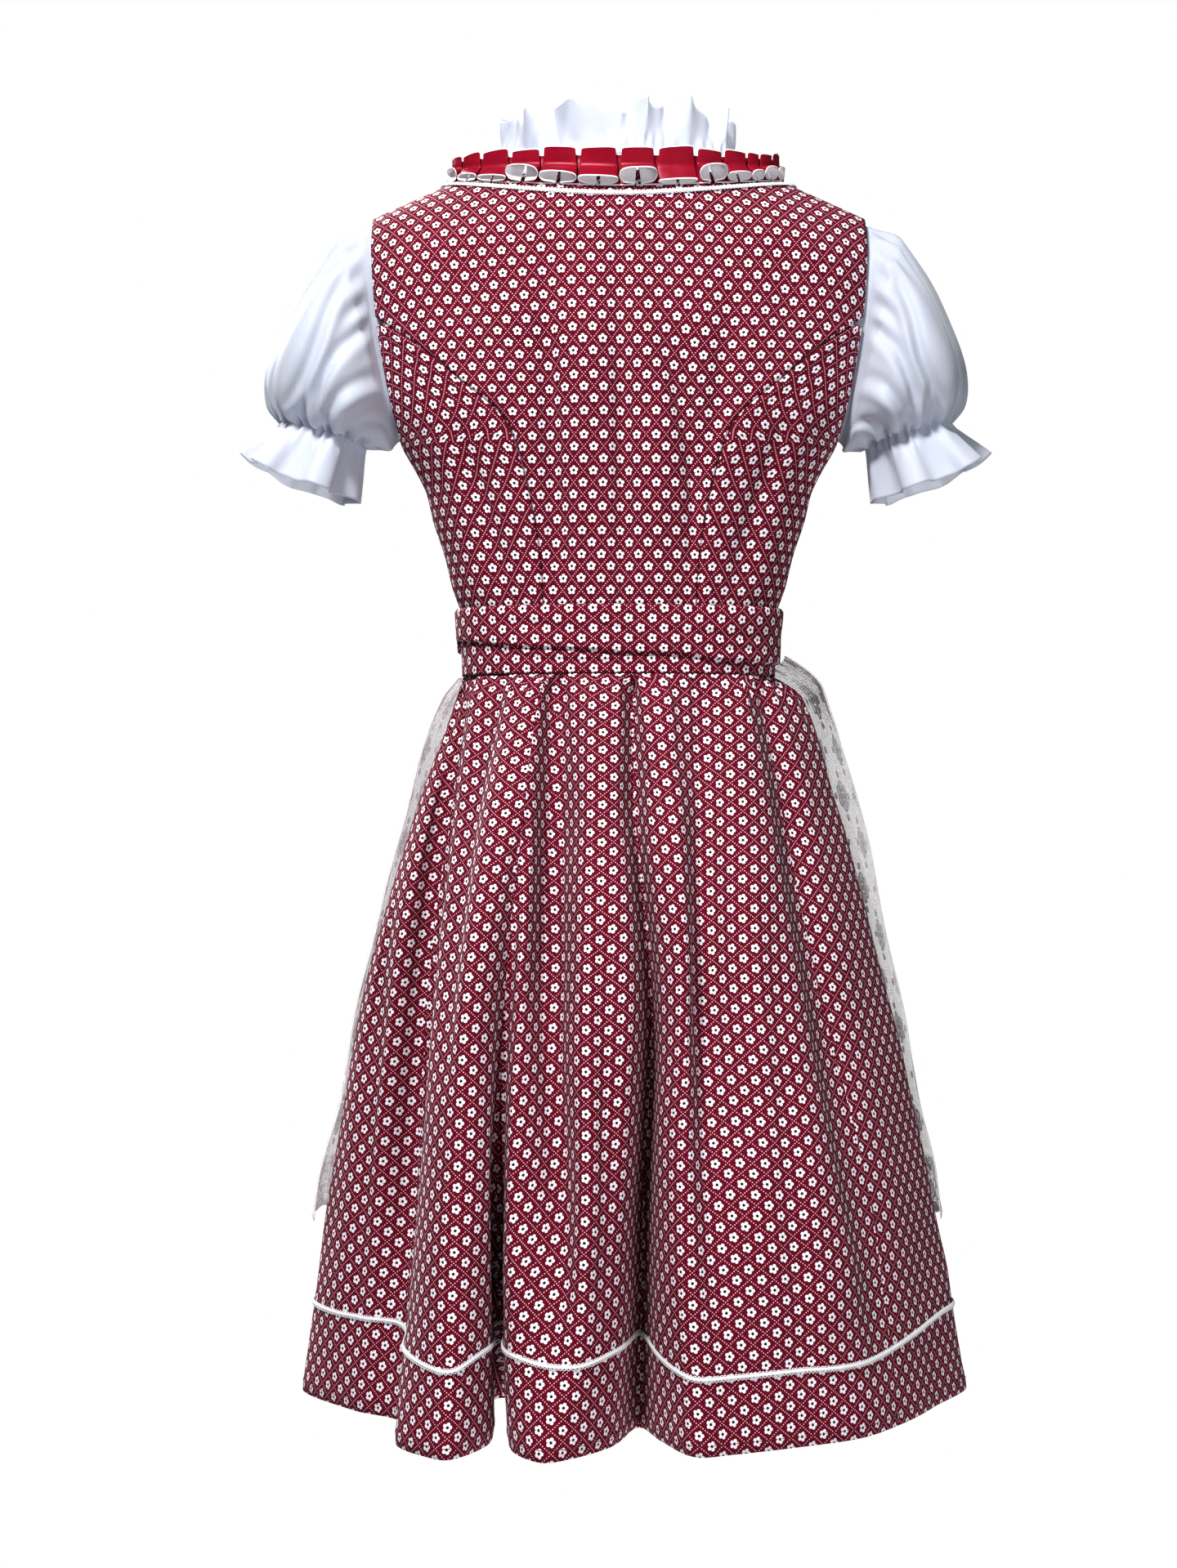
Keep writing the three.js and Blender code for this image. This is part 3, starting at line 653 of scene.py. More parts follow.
def upper_panel(side, neck, shares, first_z, low_z, level_rows, edge_at):
    """Panel from the neck and shoulder down: its first rows blend from the top edge into level ones."""
    blend = np.linspace(0, 1, CURVED_ROWS, endpoint=False)[:, None] ** 1.7
    top_x = row_x(shares, SPREAD_Z, 0, armhole_x(SPREAD_Z))
    first_x = row_x(shares, first_z, 0, edge_at(first_z))
    x = top_x + (first_x - top_x) * blend
    z = top_z(top_x, neck, side)
    z = z + (first_z - z) * blend
    y = torso_y(x, z, side)
    on_shoulder = np.abs(top_x) > neck["half"] - 0.01
    y[0] = np.where(on_shoulder, 0, y[0])
    low_levels = np.linspace(first_z, low_z, level_rows)[:, None]
    low_x = row_x(shares[None, :], low_levels, 0, edge_at(low_levels))
    low_y = torso_y(low_x, low_levels, side)
    curved = points_of(x, y, z)
    level = points_of(low_x, low_y, low_levels)
    return open_seam(np.concatenate([curved, level]), side)


def open_seam(grid, side):
    """Keeps the seam gap where a front and a back panel meet."""
    close = np.abs(grid[..., 1]) < SEAM_GAP / 2
    grid[..., 1] = np.where(close, side * SEAM_GAP / 2, grid[..., 1])
    return grid


def centre_edge(z):
    return np.where(z > SEAM_TOP, armhole_x(z), curve(BACK_SEAM, "x", z) - SEAM_GAP)


def top_corner(grid, shares, neck):
    """Places of the shoulder seam, whose wall stays square to it."""
    places = np.zeros(grid.shape[:2], bool)
    places[0] = np.abs(shares) >= share_at(neck["half"]) - 0.001
    return places


def side_seam(grid, both):
    places = np.zeros(grid.shape[:2], bool)
    low = grid[:, -1, 2] <= ARMHOLE_BOTTOM + 1
    places[low, -1] = True
    if both:
        places[low, 0] = True
    return places


def waist_gathers(x, z):
    """Small pulls in the bodice just above the sash."""
    pull = np.sin(x / 6.1 + 1.9 * np.sin(x / 23)) * np.sin(x / 15.7 + 0.8)
    return 1.1 * pull * smooth(-318, -362, z)
def seam_roll(distance, swell):
    """Cloth drawn into a seam, with a swell beside it."""
    return swell * bell(distance - 6, 5) - bell(distance, 2.2)


def bodice_back():
    shares = both_sides(panel_shares(DRESS_NECK["half"]))
    grid = upper_panel(1, DRESS_NECK, shares, SPREAD_Z, BODICE_LOW, 90, centre_edge)
    x = grid[..., 0]
    z = grid[..., 2]
    inside_edges = smooth(1.0, 0.86, np.abs(shares)) * smooth(0, 30, grid[0, :, 2] - z)
    seam = np.where(z < SEAM_TOP, np.abs(np.abs(x) - centre_edge(z)), 20)
    moved = creases(BACK_CREASES, x, z) + 0.8 * ripple(x, z, 14, 1.0) + waist_gathers(x, z)
    grid = moved_out(grid, moved * inside_edges + seam_roll(seam, z < LEVEL_Z))
    flat = spans_of(lay_flat(grid, len(shares) // 2))
    level = [(top_corner(grid, shares, DRESS_NECK), 1)]
    piece = cloth_wall("back_bodice_cloth", grid, flat, BODICE_WALL, [PRINT], level=level)
    stands_for(piece, "print", "bodice_back_centre")


def bodice_side(sign):
    name = "left" if sign > 0 else "right"
    levels = np.linspace(-127, BODICE_LOW, 74)[:, None]
    shares = np.maximum(np.linspace(0, 1, 30), 1e-6)
    start = curve(BACK_SEAM, "x", levels) + SEAM_GAP
    x = row_x(shares, levels, start, armhole_x(levels))
    grid = open_seam(points_of(x * sign, torso_y(x, levels, 1), levels), 1)
    inside_edges = smooth(0.0, 0.15, shares) * smooth(1.0, 0.86, shares)
    moved = creases(SIDE_CREASES, x, levels) + 0.7 * ripple(x, levels, 12, 2.0 + sign)
    roll = seam_roll(x - start, 0.9) * smooth(0, 20, armhole_x(levels) - start)
    grid = moved_out(grid, moved * inside_edges + roll, turn=sign)
    flat = lay_flat(grid, 15)
    level = [(side_seam(grid, False), 1)]
    piece = cloth_wall(
        f"{name}_side_bodice_cloth", grid, spans_of(flat), BODICE_WALL, [PRINT], level=level, turn=sign
    )
    stands_for(piece, "print", f"bodice_side_back_{name}")


def bodice_front(sign):
    name = "left" if sign > 0 else "right"
    shares = panel_shares(DRESS_NECK["half"]) * sign
    shares[0] = 1e-6 * sign
    grid = upper_panel(-1, DRESS_NECK, shares, LEVEL_Z, BODICE_LOW, 76, armhole_x)
    grid[:, 0, 0] = sign * SEAM_GAP / 2
    x = grid[..., 0]
    z = grid[..., 2]
    inside_edges = smooth(0.0, 0.06, np.abs(shares)) * smooth(1.0, 0.86, np.abs(shares))
    inside_edges = inside_edges * smooth(0, 30, grid[0, :, 2] - z)
    moved = creases(FRONT_CREASES, x, z, mirrored=True) + 0.8 * ripple(x, z, 14, 4.0)
    grid = moved_out(grid, (moved + waist_gathers(x, z)) * inside_edges, turn=-sign)
    flat = spans_of(lay_flat(grid, 0))
    front_edge = np.zeros(grid.shape[:2], bool)
    front_edge[:, 0] = True
    seams = top_corner(grid, shares, DRESS_NECK) | side_seam(grid, False)
    level = [(front_edge, 0), (seams, 1)]
    piece = cloth_wall(
        f"{name}_front_bodice_cloth", grid, flat, BODICE_WALL, [PRINT], level=level, turn=-sign
    )
    stands_for(piece, "print", f"bodice_front_{name}")


BLOUSE_INSET = 5
BLOUSE_LOW = -275


def blouse_edge(z):
    fade = np.clip((z - ARMHOLE_BOTTOM) / 5, 0, 1)
    return armhole_x(z) - np.where(z > ARMHOLE_BOTTOM, 6.4 * fade, 0)


def blouse_body(side):
    name = "back" if side > 0 else "front"
    outside = "bodice_back_centre" if side > 0 else "bodice_front_left"
    shares = both_sides(panel_shares(BLOUSE_NECK["half"]))
    grid = upper_panel(side, BLOUSE_NECK, shares, LEVEL_Z, BLOUSE_LOW, 30, blouse_edge)
    z = grid[..., 2]
    top = grid[:1]
    along = np.cumsum(np.linalg.norm(np.diff(top, axis=1, prepend=top[:, :1]), axis=-1), axis=1)
    gathers = 0.9 * np.sin(along / 1.9 + 1.5 * np.sin(along / 17)) * np.exp((z - top[..., 2]) / 26)
    if side > 0:
        gathers = gathers + np.minimum(0, creases(BACK_CREASES, grid[..., 0], z))
    grid = moved_out(grid, gathers * smooth(1.0, 0.86, np.abs(shares)), turn=side)
    flat = spans_of(lay_flat(grid, len(shares) // 2))
    seams = top_corner(grid, shares, BLOUSE_NECK) | side_seam(grid, True)
    piece = cloth_wall(
        f"{name}_blouse_cloth", grid, flat, BLOUSE_WALL, [BLOUSE],
        level=[(seams, 1)], turn=side, lift=-BLOUSE_INSET,
    )
    stands_for(piece, "blouse", f"blouse_{name}")


# Lines round the neck


def neck_point(angle, neck, out, drop):
    side = np.where(np.sin(angle) >= 0, 1, -1)
    rise = np.sin(angle) ** 2
    x = (neck["half"] + out) * np.cos(angle)
    scoop = np.where(side > 0, neck["back"] * rise, neck["front"] * rise**0.8)
    z = neck["edge"] - SHOULDER_SLOPE * out + scoop - drop * rise
    return points_of(x, torso_y(x, z, side), z)


def neck_normal(angle, neck, out, drop):
    along = neck_point(angle + 0.03, neck, out, drop) - neck_point(angle - 0.03, neck, out, drop)
    down = neck_point(angle, neck, out + 4, drop + 4) - neck_point(angle, neck, out, drop)
    return unit(np.cross(down, along))


def neck_outward(angle, neck):
    along = neck_point(angle + 0.03, neck, 0, 0) - neck_point(angle - 0.03, neck, 0, 0)
    return unit(points_of(along[..., 1], -along[..., 0], 0 * along[..., 0]))


def neck_angles(neck, shares):
    """Angles round the neck at shares of the edge's length."""
    fine = np.linspace(0, 2 * math.pi, 1441)
    step = np.linalg.norm(np.diff(neck_point(fine, neck, 0, 0), axis=0), axis=-1)
    lengths = np.concatenate([[0], np.cumsum(step)])
    return np.interp(shares * lengths[-1], lengths, fine)


# Edges of the ribbon's pleats on the back, by their place across, then how far each stands open,
# the height of its top and its tilt
BACK_PLEATS = columns(
    "edge open top tilt",
    (126, 0.35, -1, 2.0),
    (110, 0.2, 0, 1.6),
    (86.5, 0.85, -1, 0.8),
    (61.5, 0.55, 1, -0.6),
    (32.4, 0.42, 0, 0.3),
    (0.6, 1.0, 0, 0.2),
    (-28.5, 0.08, 1, 1.4),
    (-60.2, 0.9, -1, -1.4),
    (-82, 0.4, -1, -1.4),
    (-102, 0.5, -2, -1.0),
    (-113, 0.8, -2, -0.4),
)
BACK_END = -126
FRONT_PLEATS = 15

# Path of the ribbon through half a box pleat: share of its width and lift in millimetres,
# at the top edge, at the row of stitches and at the open lower edge
PLEAT_PATH = columns(
    "top_u top_lift sewn_u sewn_lift low_u low_lift raised",
    (-0.5, 0.3, -0.5, 0.2, -0.5, 0.4, 0),
    (-0.28, 0.4, -0.28, 0.3, -0.31, 0.5, 0),
    (-0.09, 0.5, -0.08, 0.4, -0.14, 0.9, 0),
    (-0.05, 1.2, -0.04, 0.9, -0.09, 2.4, 0),
    (-0.16, 1.9, -0.18, 1.4, -0.22, 3.4, 0),
    (-0.33, 2.6, -0.38, 1.8, -0.40, 4.2, 0.1),
    (-0.415, 3.8, -0.47, 2.5, -0.50, 8.0, 0.5),
    (-0.395, 5.2, -0.44, 3.3, -0.43, 12.0, 0.9),
    (-0.22, 6.1, -0.24, 3.6, -0.23, 14.4, 1.0),
    (0.0, 6.4, 0.0, 3.7, 0.0, 15.0, 1.0),
)
PATH_STEPS = 5
SEWN_AT = 0.56
RIBBON_HEIGHT = 33
LAYER_DROP = 5
LOOP_RISE = 6.5
RIBBON_RISE = columns("row up", (0, 19.7), (SEWN_AT, 5.6), (1, -1.5))
RIBBON_ROWS = joined_steps(0, (0.03, 2), (0.965, 10), (1, 2))


def path_value(key, places):
    """Smooth value along the pleat's path, whose second half mirrors the first."""
    half = PLEAT_PATH[key]
    mirror = -half[-2::-1] if key.endswith("_u") else half[-2::-1]
    values = np.concatenate([half, mirror])
    i = np.clip(places.astype(int), 0, len(values) - 2)
    t = places - i
    before = values[np.maximum(i - 1, 0)]
    after = values[np.minimum(i + 2, len(values) - 1)]
    first = values[i]
    second = values[i + 1]
    bend = (second - before) / 2
    leave = (after - first) / 2
    return (
        first * (1 + 2 * t) * (1 - t) ** 2
        + bend * t * (1 - t) ** 2
        + second * t * t * (3 - 2 * t)
        + leave * t * t * (t - 1)
    )


def pleat_edges():
    """Angles of the pleats' edges round the neck, with the shape of each pleat."""
    half = DRESS_NECK["half"] + 1.5
    back = np.arccos(np.append(BACK_PLEATS["edge"], BACK_END) / half)
    front = np.linspace(back[-1], back[0] + 2 * math.pi, FRONT_PLEATS + 1)
    order = np.arange(FRONT_PLEATS)
    opened = np.concatenate([BACK_PLEATS["open"], 0.55 + 0.4 * np.sin(2.3 * order + 1)])
    top = np.concatenate([BACK_PLEATS["top"], np.sin(1.7 * order)])
    tilt = np.concatenate([BACK_PLEATS["tilt"], np.sin(2.9 * order + 0.5)])
    return np.concatenate([back, front[1:]]), opened, top, tilt


def neck_ribbon():
    edges, opened, tops, tilts = pleat_edges()
    count = (2 * len(PLEAT_PATH["raised"]) - 2) * PATH_STEPS
    places = np.arange(count) / PATH_STEPS
    path = {key: path_value(key, places) for key in PLEAT_PATH}
    rows = RIBBON_ROWS[:, None]
    upper = rows < SEWN_AT
    # the cloth is held at the stitches and springs away above and below them
    share = np.where(upper, rows / SEWN_AT, (1 - rows) / (1 - SEWN_AT))
    free = np.sqrt(np.clip(1 - share, 0, 1)) ** 1.3
    face = np.clip(path["raised"], 0, 1)
    rise = np.interp(rows, RIBBON_RISE["row"], RIBBON_RISE["up"])
    upright = smooth(SEWN_AT + 0.1, 0.15, rows)[..., None]

    def opened_path(part, opening):
        sewn = path[f"sewn_{part}"]
        away = np.where(upper, path[f"top_{part}"] - sewn, (path[f"low_{part}"] - sewn) * opening)
        return sewn + away * free

    pleats = []
    for start, end, wide, top, tilt in zip(edges[:-1], edges[1:], opened, tops, tilts):
        angle = (start + end) / 2 + (end - start) * opened_path("u", wide)
        beside = np.abs(np.cos(angle)) ** 4
        out = 1.5 + 6.5 * rows**2 - 5 * beside**2 * (np.cos(angle) < 0)
        drop = 2 + 8 * rows**2
        point = neck_point(angle, DRESS_NECK, out, drop)
        normal = neck_normal(angle, DRESS_NECK, out, drop)
        away = unit(normal + (neck_outward(angle, DRESS_NECK) - normal) * upright)
        lift = opened_path("lift", 0.12 + 0.88 * wide) * (1 - 0.6 * beside)
        raised = face * wide * LOOP_RISE * smooth(SEWN_AT, 1, rows)
        uneven = (top + tilt * 2 * path["top_u"]) * face - LAYER_DROP * (1 - face)
        point[..., 2] += rise + raised + uneven * smooth(0.5, 0, rows)
        pleats.append(point + away * (1.5 + lift)[..., None])
    grid = np.concatenate(pleats, axis=1)
    step = np.linalg.norm(np.diff(grid, axis=1, append=grid[:, :1]), axis=-1)
    along = np.concatenate([[0], np.cumsum(step[len(rows) // 2])])
    flat = flat_grid(along, RIBBON_HEIGHT * (1 - rows))
    piece = cloth_wall(
        "ribbon_ruche", grid, flat, RIBBON_WALL, [SATIN, RIBBON_BACK], around=True, turn=-1
    )
    stands_for(piece, "satin", "neck_ribbon")


# Picot braid: a flat cord with a row of small loops on each side, in millimetres
PICOT_PITCH = 3.1
BRAID_HALF = 1.25
BRAID_THICK = 0.7
PICOT_RADIUS = 1.15
PICOT_TUBE = 0.42


def even_line(line, pitch):
    """Points at equal steps on a closed line, with their places between the given ones."""
    closed = np.concatenate([line, line[:1]])
    lengths = np.concatenate([[0], np.cumsum(np.linalg.norm(np.diff(closed, axis=0), axis=-1))])
    count = int(lengths[-1] / pitch)
    targets = np.arange(count) / count * lengths[-1]
    places = np.interp(targets, lengths, np.arange(len(closed)))
    return np.stack([np.interp(targets, lengths, closed[:, k]) for k in range(3)], -1), places


def line_frame(line, normals, pitch):
    """Points at equal steps on a closed line on the cloth, with the ways along it and out of it."""
    centre, places = even_line(line, pitch)
    closed = np.concatenate([normals, normals[:1]])
    index = np.arange(len(closed))
    normal = unit(np.stack([np.interp(places, index, closed[:, k]) for k in range(3)], -1))
    along = unit(np.roll(centre, -1, axis=0) - np.roll(centre, 1, axis=0))
    return centre, along, unit(normal - along * np.sum(normal * along, axis=-1, keepdims=True))


def picot_loop():
    """Half ring that stands out from the braid's edge: points in along, up and out parts."""
    bend = np.linspace(-0.25, math.pi + 0.25, 6)[:, None]
    round_tube = full_turn(3)
    radius = PICOT_RADIUS + PICOT_TUBE * np.cos(round_tube)
    points = points_of(np.cos(bend) * radius, np.sin(bend) * radius, PICOT_TUBE * np.sin(round_tube))
    near = np.arange(15).reshape(5, 3)
    aside = np.roll(near, -1, axis=1)
    faces = np.stack([near, aside, aside + 3, near + 3], -1)
    return points.reshape(-1, 3), faces.reshape(-1, 4)


def picot_braid(name, line, normals):
    """Braid along a closed line that lies on the cloth, and its loops as one joined mesh."""
    centre, along, normal = line_frame(line, normals, PICOT_PITCH / 2)
    up = np.cross(along, normal)
    up = up * np.where(up[:, 2:] < 0, -1, 1)
    section = full_turn(8)
    twist = 1 + 0.22 * np.cos(np.arange(len(centre)) * math.pi)[:, None, None]
    high = BRAID_HALF * np.cos(section)[:, None]
    thick = BRAID_THICK * (1 + np.sin(section))[:, None]
    rings = centre[:, None, :] + (up[:, None, :] * high + normal[:, None, :] * thick) * twist
    index = np.arange(len(centre) * 8).reshape(-1, 8)
    ahead = np.roll(index, -1, axis=0)
    cord = np.stack([index, np.roll(index, -1, axis=1), np.roll(ahead, -1, axis=1), ahead], -1)
    points = [rings.reshape(-1, 3)]
    faces = [cord.reshape(-1, 4)]
    for first, side in enumerate((1, -1)):
        at = slice(first, None, 2)
        origins = centre[at] + up[at] * side * (BRAID_HALF - 0.1) + normal[at] * BRAID_THICK
        axes = np.stack([along[at], up[at] * side, normal[at]], axis=1)
        loop_points, loop_faces = placed_copies(*picot_loop(), origins, axes)
        faces.append(loop_faces + sum(len(part) for part in points))
        points.append(loop_points)
    return add_piece(name, np.concatenate(points), np.concatenate(faces), [BRAID])


NECK_BRAID_OUT = 12.2
NECK_BRAID_DROP = 15.5


def neck_braid():
    angles = neck_angles(DRESS_NECK, np.arange(400) / 400)
    line = neck_point(angles, DRESS_NECK, NECK_BRAID_OUT, NECK_BRAID_DROP)
    normals = neck_normal(angles, DRESS_NECK, NECK_BRAID_OUT, NECK_BRAID_DROP)
    facing = np.sum(normals * neck_outward(angles, DRESS_NECK), axis=-1, keepdims=True)
    normals = normals * np.where(facing < 0, -1, 1)
    piece = picot_braid("neck_picot_braid", line + normals * 0.9, normals)
    stands_for(piece, "braid", "neck_braid")

# Stand collar from its free edge down: how far it stands out and the height of its waves
COLLAR = columns(
    "z out wave",
    (0, 6, 6.4),
    (-12, 3.4, 4.8),
    (-24, 1.0, 2.0),
    (-30, 0.4, 0.5),
    (-36, 0.8, 0.3),
    (-42, 3.4, 0.2),
)
COLLAR_WAVES = 13
COLLAR_HEIGHT = 36
COLLAR_SEAM = 34.8
COLLAR_LENGTH = 1150


def collar():
    """Gathered stand collar, from its free upper edge down to the neck seam."""
    count = 840
    turn = full_turn(count)
    angles = neck_angles(BLOUSE_NECK, np.arange(count) / count)
    beside = np.abs(np.sin(angles))
    depth = np.linspace(0, 42, 22)[:, None]
    share = np.maximum(0, 1 - depth / COLLAR_HEIGHT)
    uneven = COLLAR_WAVES * (turn + 0.10 * np.sin(3 * turn + 0.4) + 0.06 * np.sin(7 * turn + 2))
    wave = curve(COLLAR, "wave", -depth) * (np.cos(uneven) + 0.25 * np.cos(2 * uneven + 1))
    fine = 0.8 * np.cos(4 * uneven + 1.5 * np.sin(5 * turn)) * smooth(18, 29, depth) * smooth(42, 31, depth)
    out = curve(COLLAR, "out", -depth) - 13 * share * np.cos(angles) ** 4 - BLOUSE_INSET * beside
    lean = 2.0 * np.sin(2 * uneven) * share**2
    outward = neck_outward(angles, BLOUSE_NECK)
    along = np.cross(outward, (0, 0, 1))
    grid = neck_point(angles, BLOUSE_NECK, 0, 0)
    grid = grid + outward * (out + wave + fine)[..., None] + along * lean[..., None]
    height = 0.07 * np.sin(3 * angles + 1) + 0.06 * np.sin(7 * angles)
    height = height + 0.13 * np.cos(uneven + 0.9) + 0.03 * np.sin(31 * turn)
    above = COLLAR_SEAM - depth
    standing = COLLAR_HEIGHT - depth + above * height * smooth(0.1, 0.8, share)
    grid[..., 2] += np.where(above >= 0, standing, 1.2 + above * beside)
    flat = flat_grid(np.linspace(0, COLLAR_LENGTH, count + 1), COLLAR_HEIGHT - depth)
    piece = cloth_wall("collar_ruffle", grid, flat, 0.6, [BLOUSE], around=True, turn=-1)
    stands_for(piece, "blouse", "blouse_collar")


# Sleeve rings beyond the armhole, by their number counted down from 0: outer point, inner point
# and half depth, then the height of the large waves
SLEEVE = columns(
    "ring out_x out_z in_x in_z deep wave",
    (0, 232, -48, 187, -219, 60, 1),
    (-1, 261, -85, 191, -221, 74, 3),
    (-2, 281, -124, 196, -222, 77, 4),
    (-3, 292, -160, 201, -222, 70, 4),
    (-4, 290, -186, 206, -221, 58, 3),
    (-5, 281, -201, 212, -221, 46, 1),
    (-6, 290, -212, 213, -236, 53, 3),
    (-7, 309, -230, 217, -266, 64, 6),
)
SLEEVE_WAVES = 6
ELASTIC_ROW = 5
RIGHT_SLEEVE_IN = 5
FRILL_DIP = 5
PUFF_ROUND = 470

# Long creases of the puff: where each starts and ends round the ring and down the sleeve
PUFF_CREASES = columns(
    "x0 z0 x1 z1 x2 z2 width depth",
    (0.70, -0.5, 1.18, 1.1, 0.92, 4.2, 0.085, 5.0),
    (1.57, -0.5, 1.53, 1.6, 1.75, 4.4, 0.08, 4.6),
    (2.05, -0.5, 1.89, 1.3, 1.77, 4.7, 0.08, 4.4),
    (0.42, -0.5, 0.45, 0.8, 0.52, 2.6, 0.09, 3.6),
    (2.55, 0.2, 2.35, 2.6, 2.2, 4.7, 0.10, 3.6),
    (0.55, 2.4, 0.5, 3.6, 0.42, 4.8, 0.08, 3.2),
    (1.32, 2.6, 1.36, 3.8, 1.3, 4.8, 0.07, 3.0),
    (-0.35, -0.5, -0.6, 1.6, -0.75, 4.2, 0.10, 4.4),
    (-0.95, -0.5, -1.1, 1.8, -1.3, 4.4, 0.09, 4.0),
    (-1.6, -0.4, -1.7, 1.7, -1.8, 4.0, 0.10, 4.2),
    (-2.2, -0.3, -2.25, 2.0, -2.3, 4.6, 0.10, 3.6),
)


def sleeve(sign):
    name = "left" if sign > 0 else "right"
    turn = full_turn(288)
    middle = (ARMHOLE_TOP + ARMHOLE_BOTTOM) / 2
    reach = (ARMHOLE_TOP - ARMHOLE_BOTTOM) / 2

    def mouth(shift):
        """Ring of the sleeve at the armhole, moved along the arm."""
        z = middle + reach * np.cos(turn)
        side = np.where(np.sin(turn) >= 0, 1, -1)
        depth = np.abs(torso_y(armhole_x(z), z, side))
        y = side * np.maximum(0, depth - 3.6 * np.minimum(1, depth / 18))
        return points_of(sign * (armhole_x(z) + shift), y, middle + (z - middle) * (1 - 6 / reach))

    levels = joined_steps(0, (4.5, 37), (7, 33))[:, None]
    values = {key: curve(SLEEVE, key, -levels) for key in SLEEVE}
    scale = 1 + values["wave"] / values["deep"] * np.cos(SLEEVE_WAVES * turn + 0.6)
    share = 0.5 + np.cos(turn) / 2 * scale
    x = values["in_x"] + (values["out_x"] - values["in_x"]) * share
    z = values["in_z"] + (values["out_z"] - values["in_z"]) * share
    x = x - RIGHT_SLEEVE_IN * (sign < 0) * smooth(0, 2, levels)
    z = z - FRILL_DIP * np.abs(np.sin(turn)) * smooth(5.4, 7, levels)
    body = points_of(sign * x, values["deep"] * np.sin(turn) * scale, z)
    # a soft step from the armhole seam into the puff
    rings = [mouth(-5.4), mouth(-1.0), mouth(3.5)]
    bridge = [rings[2] + (body[0] - rings[2]) * t for t in (0.12, 0.3, 0.55, 0.8)]
    grid = np.concatenate([np.stack(rings + bridge), body])
    row = np.concatenate([[-1, -0.93, -0.86, -0.74, -0.6, -0.4, -0.2], levels[:, 0]])[:, None]
    from_elastic = row - ELASTIC_ROW
    fine = np.cos(26 * turn + 2.1 * np.sin(3 * turn) + 0.8 * np.sin(11 * turn))
    moved = 1.9 * fine * bell(from_elastic, 0.75) - 1.6 * bell(from_elastic, 0.12)
    moved = moved + 2.4 * np.cos(13 * turn + 1.7 * np.sin(2 * turn + 1)) * bell(row - 4.2, 1.1)
    frill = np.cos(7 * turn + 1.2 * np.sin(2 * turn + 0.5)) + 0.22 * np.cos(17 * turn + 1)
    moved = moved + 3.8 * frill * smooth(5.1, 7, row)
    cap = np.cos(22 * turn + 1.4 * np.sin(4 * turn)) * smooth(-0.35, 0.3, np.cos(turn))
    moved = moved + 2.2 * cap * bell(row + 0.1, 0.55)
    slack = ripple(turn * 60, row * 34, 16, 3.0 + sign) * smooth(-0.4, 0.8, row) * smooth(5, 4, row)
    ring = (turn + math.pi) % (2 * math.pi) - math.pi
    moved = moved + 1.6 * slack + creases(PUFF_CREASES, ring, row)
    moved = moved - 0.55 * creases(PUFF_CREASES, ring - 0.16, row)
    grid = moved_out(grid, moved * smooth(-0.86, -0.3, row), around=True, turn=-sign)
    step = np.linalg.norm(np.diff(grid, axis=0, prepend=grid[:1]), axis=-1).mean(1)
    flat = flat_grid(np.linspace(0, PUFF_ROUND, len(turn) + 1), np.cumsum(step)[:, None])
    piece = cloth_wall(f"{name}_sleeve_cloth", grid, flat, 0.7, [BLOUSE], around=True, turn=-sign)
    stands_for(piece, "blouse", f"sleeve_{name}")


# Sash

SASH_TOP = -356.6
SASH = columns(
    "z out",
    (SASH_TOP, 3.0),
    (-360, 4.6),
    (-368, 5.6),
    (-387, 5.8),
    (-411.6, 5.4),
)

# Height of the fold where the sash's upper layer ends on the back, by the place across
SASH_FOLD = columns(
    "across height",
    (140, -381),
    (126, -383),
    (106, -386.5),
    (81, -389.4),
    (32, -392),
    (-6, -395),
    (-49, -396),
    (-78, -400),
    (-132, -402),
    (-140, -402),
)

# Shallow folds along the sash: ends by place across and height, width and depth
SASH_CREASES = columns(
    "x0 z0 x1 z1 width depth",
    (24, -372, -12, -379, 1.8, 2.4),
    (110, -369, 20, -378, 3.4, 1.9),
    (-20, -377, -120, -384, 3.0, 1.9),
    (60, -366, -60, -368, 2.6, 1.1),
    (90, -400, -30, -405, 2.6, 1.6),
    (120, -392, 60, -400, 2.6, 1.4),
    (-60, -390, -128, -393, 2.4, 1.3),
)


def superellipse(angle, half, depth):
    x = half * np.sign(np.cos(angle)) * np.abs(np.cos(angle)) ** (2 / TORSO_POWER)
    y = depth * np.sign(np.sin(angle)) * np.abs(np.sin(angle)) ** (2 / TORSO_POWER)
    return x, y


